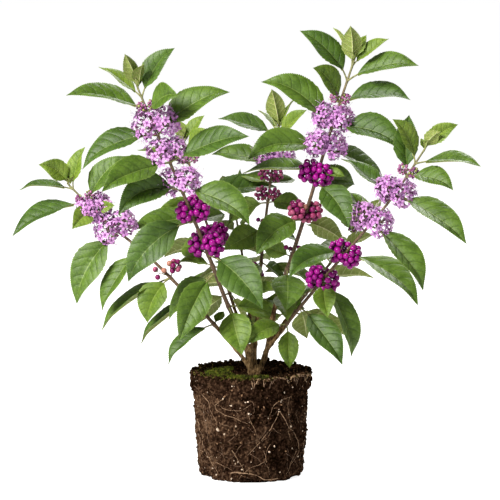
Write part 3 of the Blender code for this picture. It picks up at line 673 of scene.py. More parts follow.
def regular_pairs(crops, first_turn, reach, seed):
    """Pairs set crosswise up a stem, the lower leaves hanging and the young ones rising."""
    rng = random.Random(seed)
    rows = []
    for number, crop in enumerate(crops):
        climb = number / (len(crops) - 1)
        share = 0.36 + 0.64 * climb**0.9
        turn = first_turn + 90 * number + rng.uniform(-14, 14)
        length = reach * (1.0 - 0.50 * climb**2) * rng.uniform(0.92, 1.08)
        lift = -16 + 66 * climb
        one = (turn, lift + rng.uniform(-7, 7), length)
        two = (turn + 180, lift + rng.uniform(-7, 7), length * rng.uniform(0.88, 1.0))
        rows.append((share, one, two, crop))
    return pairs_of(*rows)


STEMS = {
    "left_low": Stem(
        knots=[(0.001, -0.004), (-0.009, -0.002, 0.128), (-0.049, 0.006, 0.173), (-0.105, 0.018, 0.230),
               (-0.160, 0.028, 0.275), (-0.198, 0.034, 0.312)],
        foot_radius=0.0027, tip_radius=0.0011, leafy=0.225, split=0.69, face=FRONT,
        pairs=pairs_of(
            (0.24, (-159, -35, 70, 10, 46), (60, 30, 24)),
            (0.37, (176, -40, 76, 10, 28), (80, -20, 50)),
            (0.48, (-154, -74, 60, 30, 66, 0.64), (178, -36, 98, 10, 34), "turning"),
            (0.635, (-157, -54, 82, 10, 46), (56, 3, 56)),
            (0.745, (-163, -58, 94, 40, 46), (70, 10, 50), "blossom", 0.5),
            (0.865, (-124, -22, 44, 70, 60, 0.58), (-27, 17, 26, 80), "blossom", 0.2),
            (0.905, (-172, -22, 92, 20, 46), (6, 50, 70, 30, 46), "bud"),
            (0.98, (-176, 3, 60, 10, 28), (20, 76, 50, 10, 40)),
            (1.00, (-149, 34, 46, 70, 60, 0.58), (150, 61, 24)),
        ),
    ),
    "left_tall": Stem(
        knots=[(0.001, 0.000), (-0.005, 0.001, 0.141), (-0.026, -0.020, 0.191), (-0.045, -0.040, 0.244),
               (-0.072, -0.058, 0.314), (-0.106, -0.066, 0.395), (-0.119, -0.068, 0.426)],
        foot_radius=0.0031, tip_radius=0.0011, leafy=0.235, split=0.64, face=FRONT,
        pairs=pairs_of(
            (0.245, (-68, -50, 62, 60, 34, 0.61), (19, -16, 66, 50, 34)),
            (0.37, (-133, -51, 90, 70, 52), (166, -43, 76, 40, 28)),
            (0.395, (-176, 10, 38, 30, 34, 0.45), (24, -32, 58, 50, 34)),
            (0.435, (-43, -32, 96, 60, 46, 0.48), (139, -14, 50, 66, 40, 0.64), "ripe"),
            (0.555, (-170, -41, 102, 60, 64), (52, 3, 54, 60, 20, 0.50), "ripe"),
            (0.655, (-28, -19, 92, 40, 64, 0.51), (-148, -14, 88, 62, 84), "blossom"),
            (0.755, (-141, -14, 92, 50, 20), (-23, 20, 96, 40, 20), "blossom"),
            (0.845, (-175, -22, 92, 30, 52), (0, 33, 93, 40, 52, 0.47), "blossom"),
            (0.92, (-167, 14, 92, 30, 40), (-54, 22, 60, 60, 64, 0.565), "bud"),
            (0.97, (176, 37, 56, 20, 16, 0.45), (0, 58, 64, 30, 34)),
            (1.00, (-136, 63, 42, 40, 10), (-72, 58, 34, 20, 50, 0.575)),
        ),
    ),
    "middle": Stem(
        knots=[(0.004, 0.004), (0.005, 0.010, 0.142), (0.012, 0.040, 0.235), (0.021, 0.060, 0.310),
               (0.030, 0.074, 0.371)],
        foot_radius=0.0027, tip_radius=0.0011, leafy=0.27, split=0.761, face=FRONT,
        pairs=pairs_of(
            (0.30, (-60, -14, 60), (118, -38, 56)),
            (0.45, (-115, -17, 62), (49, -36, 62)),
            (0.59, (-141, -18, 60, 70, 20, 0.555), (45, -20, 60), "few"),
            (0.695, (153, -27, 60, 50, 46), (-39, -5, 50, 50, 40, 0.535), "unripe"),
            (0.775, (50, 2, 44), (136, 7, 46), "unripe"),
            (0.85, (165, 10, 72, 30, 20), (60, 8, 50), "blossom"),
            (0.975, (178, 17, 68, 30, 16), (-28, 40, 46, 40, 16)),
            (0.99, (129, 33, 40, -20, 16), (49, 52, 44, -20, 16)),
            (1.00, (-150, 79, 46, 50, 28, 0.555), (80, 66, 30)),
        ),
    ),
    "right_tall": Stem(
        knots=[(0.008, -0.004), (0.017, -0.005, 0.136), (0.027, -0.008, 0.188), (0.040, -0.014, 0.228),
               (0.056, -0.022, 0.279), (0.067, -0.026, 0.316), (0.085, -0.032, 0.378),
               (0.109, -0.038, 0.452)],
        foot_radius=0.0033, tip_radius=0.0012, leafy=0.25, split=0.695, face=FRONT,
        pairs=pairs_of(
            (0.27, (-81, -27, 56), (127, -20, 58)),
            (0.34, (-92, -38, 60, 70, 20, 0.68), (44, -28, 58)),
            (0.38, (137, 10, 44, 70, 14), (20, -19, 44), "few"),
            (0.50, (-135, -23, 82, 50, 64, 0.50), (33, -27, 60, 90, 20), "turning"),
            (0.615, (-49, -38, 72, 50, 64, 0.51), (38, -4, 60, 70, 58, 0.60), "ripe"),
            (0.66, (154, -3, 92, 20, 20), (-20, -10, 30)),
            (0.72, (-160, -3, 92, 40, 60), (25, -29, 90, 34, 52), "blossom", 0.6),
            (0.79, (-24, -13, 90, 42, 62, 0.49), (178, 35, 95, 40, 56), "blossom"),
            (0.865, (-18, 6, 82, 32, 54, 0.49), (-144, 50, 56, 40, 60, 0.60), "bud"),
            (0.94, (-17, 15, 82, 30, 42), (176, 47, 76, 30, 50)),
            (0.985, (-103, 76, 46, 40, 16, 0.58), (4, 39, 50, 20, 28)),
            (1.00, (144, 55, 44, -20, 14, 0.50), (39, 58, 34, 30, 30, 0.40)),
        ),
    ),
    "right_low": Stem(
        knots=[(0.008, -0.003), (0.017, -0.005, 0.135), (0.034, -0.013, 0.160), (0.052, -0.022, 0.185),
               (0.094, -0.045, 0.240), (0.146, -0.068, 0.306), (0.182, -0.080, 0.362)],
        foot_radius=0.0025, tip_radius=0.0011, leafy=0.195, split=0.622, face=FRONT,
        pairs=pairs_of(
            (0.21, (-75, -75, 50, 60, 50, 0.535), (-145, -17, 56, 50, 46)),
            (0.29, (-46, -39, 86, 40, 30), (74, -55, 46, 50, 14, 0.66)),
            (0.42, (-23, -65, 92, 10, 46), (-81, -46, 48, 70, 14, 0.60), "ripe", 0.1),
            (0.545, (-29, -28, 104, 10, 48), (-143, -13, 82, 40, 62), "ripe", 0.1),
            (0.68, (-34, -42, 98, 20, 52), (114, 34, 60, -10, 24), "blossom", 0.6),
            (0.81, (-32, -26, 102, 20, 46), (148, 33, 74, 20, 14, 0.40), "blossom", 0.5),
            (0.89, (-36, -8, 62, 40, 56, 0.51), (80, 71, 70, 0, 40, 0.45), "bud"),
            (0.945, (-24, 2, 74, 20, 28), (-159, 62, 56, 30, 46)),
            (1.00, (-32, 47, 30, 70, 50, 0.60), (2, 38, 46, 60, 40)),
        ),
    ),
    "back_left": Stem(
        knots=[(-0.001, 0.006), (-0.009, 0.018, 0.148), (-0.034, 0.048, 0.225), (-0.060, 0.072, 0.300),
               (-0.074, 0.082, 0.357)],
        foot_radius=0.0024, tip_radius=0.0010, leafy=0.30, split=0.66, face=BACK,
        pairs=pairs_of(
            (0.34, (143, -39, 76), (-30, -43, 72)),
            (0.46, (-123, -19, 72), (57, -20, 66)),
            (0.55, (148, -14, 70), (28, -12, 66), "ripe"),
            (0.675, (-162, -7, 86, -40, 14), (80, 8, 62), "ripe"),
            (0.77, (-6, 5, 92, -30, 16), (-172, -28, 58, -80, 14, 0.38)),
            (0.90, (-179, 18, 60, -20, 14), (110, 15, 46), "bud"),
            (0.97, (-41, 37, 38, -50, 22), (126, 59, 36, -40, 14)),
            (1.00, (-150, 66, 26), (4, 53, 36, -30, 14)),
        ),
    ),
    "back_middle": Stem(
        knots=[(0.003, 0.010), (0.001, 0.026, 0.142), (-0.006, 0.072, 0.205), (-0.020, 0.128, 0.288)],
        foot_radius=0.0024, tip_radius=0.0010, leafy=0.32, split=0.65, face=BACK,
        pairs=regular_pairs([None, "ripe", None, "few", None, "bud", None], 50, 74, seed=5),
    ),
    "back_right": Stem(
        knots=[(0.009, 0.006), (0.020, 0.014, 0.140), (0.062, 0.048, 0.192), (0.126, 0.094, 0.266)],
        foot_radius=0.0024, tip_radius=0.0010, leafy=0.32, split=0.545, face=BACK,
        pairs=regular_pairs([None, None, "few", None, "few", "bud", None], 155, 76, seed=2),
    ),
}


class Path:
    """A smooth curve through its knots, read by the share of its length."""

    PER_SPAN = 12

    def __init__(self, foot, *knots):
        knots = np.array([(*foot, CROWN_CENTRE.z), *knots], float)
        points = []
        for span in range(len(knots) - 1):
            points += [bend(knots, span, t) for t in np.linspace(0, 1, self.PER_SPAN, endpoint=False)]
        self.points = np.array([*points, knots[-1]])
        self.reached = lengths_along(self.points)
        self.length = float(self.reached[-1])

    def at(self, share):
        reached = share * self.length
        return Vector([np.interp(reached, self.reached, self.points[:, axis]) for axis in range(3)])

    def heading(self, share):
        step = 0.004 / self.length
        return (self.at(min(1, share + step)) - self.at(max(0, share - step))).normalized()


PATHS = {name: Path(*stem.knots) for name, stem in STEMS.items()}


def mass_name(stem_name, share):
    part = "lower" if share < STEMS[stem_name].split else "upper"
    return f"{stem_name}_{part}_foliage"


def stem_radius(stem, share):
    return stem.tip_radius + (stem.foot_radius - stem.tip_radius) * (1 - share) ** 0.8


def cane(name, start, end, step, swell):
    """Points and radii of one stem between two shares of its length, swollen at the shares in swell."""
    stem, path = STEMS[name], PATHS[name]
    count = max(4, round((end - start) * path.length / step) + 1)
    points, radii = [], []
    for share in np.linspace(start, end, count).tolist():
        bulge = sum(math.exp(-((share - at) * path.length / SWELLING_LENGTH) ** 2) for at in swell)
        points.append(path.at(share))
        radii.append(stem_radius(stem, share) * (0.88 + 0.24 * min(1, bulge)))
    return points, radii


def add_cane(points, radii, name):
    """A curve drawn along the points and turned into a closed round mesh."""
    curve = bpy.data.curves.new(name, "CURVE")
    curve.dimensions, curve.bevel_depth, curve.bevel_resolution = "3D", 1.0, 3
    curve.use_fill_caps = True
    line = curve.splines.new("POLY")
    line.points.add(len(points) - 1)
    for knot, point, radius in zip(line.points, points, radii):
        knot.co, knot.radius = (*point, 1), radius
    made = bpy.data.objects.new(name, curve)
    scene.collection.objects.link(made)
    pick(made)
    bpy.ops.object.convert(target="MESH")
    return bpy.context.object


rng = random.Random(30)
bare_stems = []


def add_knob(centre, size):
    bpy.ops.mesh.primitive_uv_sphere_add(segments=16, ring_count=10, radius=size, location=centre)
    bare_stems.append(bpy.context.object)


for name, stem in STEMS.items():
    evenly = np.arange(0.05, stem.leafy, SCAR_SPACING).tolist()
    scars = [share + rng.uniform(-0.008, 0.008) for share in evenly]
    run = cane(name, 0.0, stem.leafy + 0.01, step=0.002, swell=scars)
    bare_stems.append(add_cane(*run, f"{name}_bare"))

bpy.ops.mesh.primitive_cone_add(
    vertices=24, radius1=CROWN_RADIUS, radius2=CROWN_RADIUS * 0.62, depth=CROWN_HEIGHT,
    location=CROWN_CENTRE + UP * (CROWN_HEIGHT / 2 - 0.0008),
)
bare_stems.append(bpy.context.object)
for bearing, reach, size in (
    (200, 0.0048, 0.0036), (320, 0.0052, 0.0032), (80, 0.0050, 0.0034), (262, 0.0056, 0.0028),
):
    add_knob(CROWN_CENTRE + level(bearing) * reach + UP * 0.0022, size)

lean = (STUB_TOP - STUB_FOOT).normalized()
bpy.ops.mesh.primitive_cylinder_add(
    vertices=24, radius=STUB_RADIUS * 0.88, depth=(STUB_TOP - STUB_FOOT).length, end_fill_type="NGON",
    location=STUB_FOOT.lerp(STUB_TOP, 0.5), rotation=lean.to_track_quat("Z", "Y").to_euler(),
)
stub = bpy.context.object
bpy.ops.object.mode_set(mode="EDIT")
bpy.ops.mesh.select_all(action="DESELECT")
shape = bmesh.from_edit_mesh(stub.data)
for face in shape.faces:
    face.select = len(face.verts) > 4 and face.normal.z > 0.5
bmesh.update_edit_mesh(stub.data)
bpy.ops.mesh.inset(thickness=0.0008)
bpy.ops.mesh.extrude_region_move(TRANSFORM_OT_translate={"value": lean * 0.0008})
bpy.ops.mesh.inset(thickness=0.0010)
bpy.ops.mesh.extrude_region_move(TRANSFORM_OT_translate={"value": lean * -0.0034})
bpy.ops.object.mode_set(mode="OBJECT")
bare_stems.append(stub)
for share, bearing, size in ((0.76, 200, 0.0026), (0.80, 330, 0.0024), (0.45, 120, 0.0022)):
    add_knob(STUB_FOOT.lerp(STUB_TOP, share) + level(bearing) * 0.0020, size)

wood = joined(bare_stems)
wood.name = "woody_stems"
remesh(wood, voxel=0.00058)
roughen(wood, "CLOUDS", grain=0.0035, strength=0.0009, depth=2)
apply_modifiers(wood)
bpy.ops.object.shade_smooth()

# Grey-brown young bark with fine streaks along the stem whose pale crests are partly painted highlight,
# darker cracks and small pale pores, and painted light making it paler towards the foot.
bark, shader, place = new_finish("young_bark", {"Roughness": 0.85, "Specular IOR Level": 0.15})
streaks = place.drawn_out(0.22).noise(900.0, detail=4.0, roughness=0.6)
pores = place.noise(820.0, detail=1.0).rise(0.66, 0.72)
# Painted light: the tone is lifted on the canes' lower run, below about 0.13 to 0.175 m, for the light
# falling on their foot.
shade = 0.6 * streaks + 0.4 * place.noise(160.0) + 0.07 * place.part("Z").rise(0.175, 0.130)
# The ramp's steep pale top brightens the streak crests, partly painted highlight.
tone = shade.ramp(
    (0.40, (0.015, 0.007, 0.002)), (0.48, (0.060, 0.032, 0.011)), (0.56, (0.155, 0.092, 0.037)),
    (0.66, (0.350, 0.225, 0.105)),
)
(pores * 0.6).between(tone, (0.40, 0.28, 0.17)).into(shader, "Base Color")
(streaks + 0.4 * pores).bump(0.0009, shader)
wood.data.materials.clear()
wood.data.materials.append(bark)
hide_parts("trunk", *(f"{name}_limb" for name in STEMS))
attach(wood, "root")


# Leafy twigs: the upper run of each cane, which is softer, slimmer and swollen where each pair of leaves
# springs from it, with the stalk of every leaf. The rule below says where leaves and heads grow.
# Leaves are ovate, drawn out to a point, folded up along the midrib and arched down by their weight.
PETIOLE_SHARE = 0.16
WIDTH_WHEN_YOUNG, WIDTH_WHEN_GROWN = 0.55, 0.43
GROWN_LEAF, SHORT_LEAF = 0.105, 0.075
LEAF_FOLD, MOST_ROLL = math.radians(14), math.radians(80)
LEAF_THICKNESS_SHARE, LEAF_LEAST_THICKNESS, PETIOLE_HALF_WIDTH = 0.013, 0.0009, 0.0009
LONG_LEAF_STATIONS, SHORT_LEAF_STATIONS = (0.18, 0.47, 0.75), (0.28, 0.64)

# How much stouter than its solid a leaf is taken while it looks for room, and what it may be turned and
# tipped by, in degrees, until it finds some.
ELBOW_ROOM = 0.0008
TURNS, TIPS = (9, -9, 18, -18, 28, -28, 40, -40), (0, 9, -9, 18)

# The pairs past this share of a stem's length grow out of one tip and may touch.
TIP_SHARE = 0.88

# How thick a leaf's stalk is from the twig to its end under the blade, in multiples of its usual radius.
STALK_TAPER = (1.35, 1.05, 0.92, 0.88, 0.86, 0.80, 0.55)
STALK_END, TWIG_SIDES = PETIOLE_SHARE + 0.035, 10

# Fruit and blossom sit in rounded heads, one in the axil of each leaf, a little longer along the stem than
# across. A head's reach and rise from the axil go out from the stem and up it.
Crop = namedtuple("Crop", "radius reach rise")
CROPS = {
    "ripe": Crop(radius=0.0140, reach=0.0066, rise=0.0120),
    "turning": Crop(radius=0.0116, reach=0.0092, rise=0.0105),
    "few": Crop(radius=0.0056, reach=0.0054, rise=0.0090),
    "unripe": Crop(radius=0.0086, reach=0.0078, rise=0.0100),
    "blossom": Crop(radius=0.0150, reach=0.0094, rise=0.0125),
    "bud": Crop(radius=0.0064, reach=0.0058, rise=0.0070),
}
HEAD_STRETCH, FLATTEN = 1.12, 0.45

Leaf = namedtuple("Leaf", "stem mass pair_number base bearing lift length roll droop width")
Head = namedtuple("Head", "stem mass pair_number crop centre heading radius")


def droop_of(length):
    """How far a leaf arches from stalk to tip: hardly at all when young, and most when full grown."""
    return math.radians(min(52, max(10, length * 1000 - 34)))


def leaf_frame(leaf, share):
    """The point on the midrib at a share of the leaf's length, and its along, side and face directions."""
    out, droop = level(leaf.bearing), leaf.droop
    start = math.radians(leaf.lift) + droop / 2
    here = start - droop * share
    run = (math.sin(start) - math.sin(here)) / droop
    climb = (math.cos(here) - math.cos(start)) / droop
    point = leaf.base + leaf.length * (run * out + climb * UP)
    along = math.cos(here) * out + math.sin(here) * UP
    side, face = UP.cross(out), -math.sin(here) * out + math.cos(here) * UP
    turned = math.cos(leaf.roll) * side + math.sin(leaf.roll) * face
    return point, along, turned, along.cross(turned)


def roll_towards(hint, bearing, lift):
    """How far a blade turns about its midrib so that its face looks along the hint."""
    out, rise = level(bearing), math.radians(lift)
    side, face = UP.cross(out), -math.sin(rise) * out + math.cos(rise) * UP
    roll = math.atan2(-hint.dot(side), hint.dot(face))
    if abs(roll) > math.pi / 2:
        roll -= math.copysign(math.pi, roll)
    return max(-MOST_ROLL, min(MOST_ROLL, roll))


def leaf_width(length):
    """Width of a blade as a share of its length; young leaves are the rounder."""
    return WIDTH_WHEN_YOUNG + (WIDTH_WHEN_GROWN - WIDTH_WHEN_YOUNG) * min(1, length / GROWN_LEAF)


def half_width(share):
    """The blade's half width as a share of its greatest, from leaf stalk at 0 to tip at 1."""
    swell, taper = 1.10, 1.30
    widest = swell / (swell + taper)
    return (share / widest) ** swell * ((1 - share) / (1 - widest)) ** taper


def leaf_of(name, number, blade, turn, tip, twist):
    """One leaf as asked for, turned and tipped by so many degrees."""
    stem, length = STEMS[name], blade.length / 1000
    share, lean = stem.pairs[number].share, math.radians(blade.lean)
    hint = math.cos(lean) * UP + math.sin(lean) * stem.face
    return Leaf(name, mass_name(name, share), number, PATHS[name].at(share), blade.bearing + turn,
                blade.lift + tip, length, roll_towards(hint, blade.bearing + turn, blade.lift + tip) + twist,
                droop_of(length) if blade.arch is None else math.radians(blade.arch),
                blade.width or leaf_width(length))


def leaf_rings(leaf):
    """The sections of a leaf's solid with its elbow room all round."""
    blade = leaf.length * (1 - PETIOLE_SHARE)
    thick = max(LEAF_LEAST_THICKNESS, LEAF_THICKNESS_SHARE * leaf.length) / 2 + ELBOW_ROOM
    rings = []
    for share in (0.0, PETIOLE_SHARE):
        point, _, side, face = leaf_frame(leaf, share)
        half = PETIOLE_HALF_WIDTH + ELBOW_ROOM
        rings.append([point - side * half, point - face * half, point + side * half, point + face * half])
    for station in LONG_LEAF_STATIONS if leaf.length > SHORT_LEAF else SHORT_LEAF_STATIONS:
        point, _, side, face = leaf_frame(leaf, PETIOLE_SHARE + station * (1 - PETIOLE_SHARE))
        half = blade * leaf.width / 2 * half_width(station) + ELBOW_ROOM
        across, raised = side * half * math.cos(LEAF_FOLD), face * half * math.sin(LEAF_FOLD)
        left, right = point - across + raised, point + across + raised
        rings.append([left, point - face * thick, right, point + face * thick])
    tip, along, _, _ = leaf_frame(leaf, 1.0)
    return [*rings, [tip + along * ELBOW_ROOM]]


def loft(rings):
    """A closed mesh through rings of equal count; a ring of one point closes an end, others get a cap."""
    mesh = bmesh.new()
    rows = [[mesh.verts.new(point) for point in ring] for ring in rings]
    for low, high in zip(rows, rows[1:]):
        sides = max(len(low), len(high))
        for i in range(sides):
            j = (i + 1) % sides
            corners = [low[i % len(low)], low[j % len(low)], high[j % len(high)], high[i % len(high)]]
            mesh.faces.new(list(dict.fromkeys(corners)))
    for row in (rows[0], rows[-1]):
        if len(row) > 2:
            mesh.faces.new(row)
    return mesh


def ring_about(point, along, radius, sides):
    side = along.cross(Vector((0, 1, 0))).normalized()
    front = side.cross(along)
    turns = [2 * math.pi * i / sides for i in range(sides)]
    return [point + radius * (math.cos(t) * side + math.sin(t) * front) for t in turns]


def stem_rings(name):
    """Sections of one whole stem, the first of them level."""
    path, rings = PATHS[name], []
    for share in np.linspace(0, 1, max(3, round(path.length / STEM_STEP) + 1)).tolist():
        off_foot = min(1.0, share * path.length / 0.010)
        along = UP.lerp(path.heading(share), off_foot).normalized()
        rings.append(ring_about(path.at(share), along, stem_radius(STEMS[name], share), STEM_SIDES))
    return rings


def head_of(name, number, pair, bearing, rng):
    """Where the head in one leaf's axil lies. Its stalk rises between the stem and the upright, and heads
    spread mostly along the crown's broad side."""
    crop, path = CROPS[pair.crop], PATHS[name]
    node, heading = path.at(pair.share), (path.heading(pair.share) + UP).normalized()
    out = level(bearing)
    out = Vector((out.x, out.y * FLATTEN, 0)).normalized()
    out = (out - heading * out.dot(heading)).normalized()
    size = rng.uniform(0.94, 1.05)
    centre = node + (out * crop.reach + heading * crop.rise * pair.rise) * size
    return Head(name, mass_name(name, pair.share), number, pair.crop, centre, heading, crop.radius * size)


def tree_of(mesh):
    tree = BVHTree.FromBMesh(mesh)
    mesh.free()
    return tree


def head_mesh(head):
    """One head: a ball drawn out along the stem, with a knob on each face for its berries or flowers."""
    mesh = bmesh.new()
    bmesh.ops.create_icosphere(mesh, subdivisions=1, radius=head.radius * 0.92)
    for vert in bmesh.ops.poke(mesh, faces=mesh.faces)["verts"]:
        vert.co = vert.co.normalized() * head.radius
    for vert in mesh.verts:
        vert.co.z *= HEAD_STRETCH
    lean = UP.rotation_difference(head.heading).to_matrix().to_4x4()
    mesh.transform(Matrix.Translation(head.centre) @ lean)
    return mesh


def crowded(part, other, reach):
    """Whether two parts grow so near each other on one twig that they may touch, as all do at its tip."""
    at_tip = all(STEMS[one.stem].pairs[one.pair_number].share > TIP_SHARE for one in (part, other))
    return part.mass == other.mass and (at_tip or abs(part.pair_number - other.pair_number) <= reach)


def grow_crown():
    """Every head and leaf. A leaf that would touch a limb, a head or another leaf is turned a little, and
    one that finds no room is left out."""
    rng = random.Random(11)
    wood = {name: tree_of(loft(stem_rings(name))) for name in STEMS}
    ground = tree_of(loft([ring_about(Vector((0, 0, z)), UP, RIM_RADIUS + 0.002, 16) for z in (0, 0.1165)]))
    heads = []
    for name, stem in STEMS.items():
        for number, pair in enumerate(stem.pairs):
            if pair.crop:
                heads += [head_of(name, number, pair, pair.one.bearing + turn, rng) for turn in (0, 180)]
    round_heads = [(head, tree_of(head_mesh(head))) for head in heads]
    nudges = [(0, 0)] + [(turn, tip) for turn in TURNS for tip in TIPS]
    grown = []
    for name, stem in STEMS.items():
        for number, pair in enumerate(stem.pairs):
            for blade in (pair.one, pair.two):
                twist = math.radians(rng.uniform(-4, 4))
                for turn, tip in nudges:
                    leaf = leaf_of(name, number, blade, turn, tip, twist)
                    tried = tree_of(loft(leaf_rings(leaf)))
                    near = [tree for other, tree in wood.items() if other != name] + [ground]
                    near += [tree for head, tree in round_heads if not crowded(leaf, head, reach=1)]
                    near += [tree for other, tree in grown if not crowded(leaf, other, reach=0)]
                    if not any(tried.overlap(tree) for tree in near):
                        grown.append((leaf, tried))
                        break
    return heads, [leaf for leaf, _ in grown]


heads, leaves = grow_crown()
twigs = Heap()
for name, stem in STEMS.items():
    nodes = [pair.share for pair in stem.pairs]
    points, radii = cane(name, stem.leafy - 0.004, 1.0, step=0.0022, swell=nodes)
    ages = np.linspace(stem.leafy, 1, len(points)).repeat(TWIG_SIDES)
    twigs.add(*strand(points, radii, TWIG_SIDES), 0, ages[:, None] * (1, 0))
    tip, heading = PATHS[name].at(1.0), PATHS[name].heading(1.0)
    twigs.add(*strand([tip, tip + heading * 0.004], (0.0011, 0.0007), sides=6), 1)
for leaf in leaves:
    points = [leaf_frame(leaf, STALK_END * step / 6)[0] for step in range(len(STALK_TAPER))]
    radii = [(0.00062 + 0.0055 * leaf.length) * wide for wide in STALK_TAPER]
    twigs.add(*strand(points, radii, sides=7), 1)

# Brown bark on the lower twigs that passes over tan to a downy purplish olive at the tips.
twig_bark, shader, place = new_finish("twig_bark", {"Roughness": 0.7, "Specular IOR Level": 0.3})
age, mottle = place.painted("X"), place.noise(500.0)
specks = mottle.rise(0.35, 0.65)
old = specks.between((0.050, 0.029, 0.016), (0.130, 0.078, 0.044))
young = specks.between((0.075, 0.050, 0.027), (0.170, 0.118, 0.066))
tender = specks.between((0.110, 0.112, 0.045), (0.220, 0.215, 0.095))
age.rise(0.88, 1.0).between(age.rise(0.45, 0.85).between(old, young), tender).into(shader, "Base Color")
mottle.bump(0.0004, shader)


def stalk_finish(name, dark, pale):
    satin = {"Roughness": 0.6, "Specular IOR Level": 0.35}
    return speckled(name, dark, pale, satin, (420.0, 2.0), (0.35, 0.65), (1500.0, 2.0), 0.0002)


twig_piece = twigs.piece("leafy_twigs", [
    twig_bark, stalk_finish("leaf_stalks", (0.110, 0.112, 0.034), (0.230, 0.230, 0.080)),
])
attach(twig_piece, "root")


# Leaves: thin ovate blades with a long drip tip and a finely saw-toothed margin, folded along a pale midrib
# and puffed up between the arching side veins. Each is one closed sheet, its underside paler than its face.
BLADE_THICKNESS, TOOTH, SIDE_SWEEP = 0.00042, 0.0011, 0.30
MIDRIB_GROOVE, MIDRIB_KEEL = 0.0009, 0.0011

# A blade folds up by so many degrees and twists by up to so many radians. It curls at its tip, sways, waves
# at its margin and puffs up between its veins by these shares of its length.
LEAST_FOLD, MOST_FOLD, LEAST_CURL, MOST_CURL = 15, 30, 0.02, 0.07
SWAY, TWIST, WAVE, PUFF = 0.035, 0.30, 0.011, 0.0062

# The blade's half width as a share of its greatest: full and rounded low down, drawn out to a drip tip.
OUTLINE_REACH = (0, 0.03, 0.08, 0.15, 0.24, 0.34, 0.44, 0.56, 0.68, 0.78, 0.86, 0.92, 0.97, 1)
OUTLINE_WIDTH = (0, 0.14, 0.37, 0.66, 0.90, 1.02, 1.03, 0.94, 0.74, 0.51, 0.30, 0.17, 0.07, 0)


def blade_outline(share):
    fine = np.linspace(0, 1, 201)
    width = np.interp(fine, OUTLINE_REACH, OUTLINE_WIDTH)
    smooth = np.convolve(np.pad(width, 6, mode="edge"), np.ones(13) / 13, mode="valid")
    return np.interp(share, fine, smooth * np.clip(fine * 40, 0, 1) * np.clip((1 - fine) * 40, 0, 1))


def soft_step(values, low, high):
    t = np.clip((values - low) / (high - low), 0, 1)
    return t * t * (3 - 2 * t)


def sheet_faces(rows, columns):
    """The faces of a sheet of so many rows of corners, upper layer first, and which of them lie beneath."""
    stride, count = columns + 1, rows * (columns + 1)
    first = (np.arange(rows - 1)[:, None] * stride + np.arange(columns)).ravel()
    top = np.stack([first, first + stride, first + stride + 1, first + 1], axis=1)
    left, foot = np.arange(rows - 1) * stride, np.arange(columns)
    right, last = left + columns, foot + (rows - 1) * stride
    faces = np.concatenate([
        top,
        top[:, ::-1] + count,
        np.stack([left, left + count, left + stride + count, left + stride], axis=1),
        np.stack([right, right + stride, right + stride + count, right + count], axis=1),
        np.stack([foot, foot + 1, foot + 1 + count, foot + count], axis=1),
        np.stack([last, last + count, last + 1 + count, last + 1], axis=1),
    ])
    return faces.tolist(), np.arange(len(faces)) >= len(top)


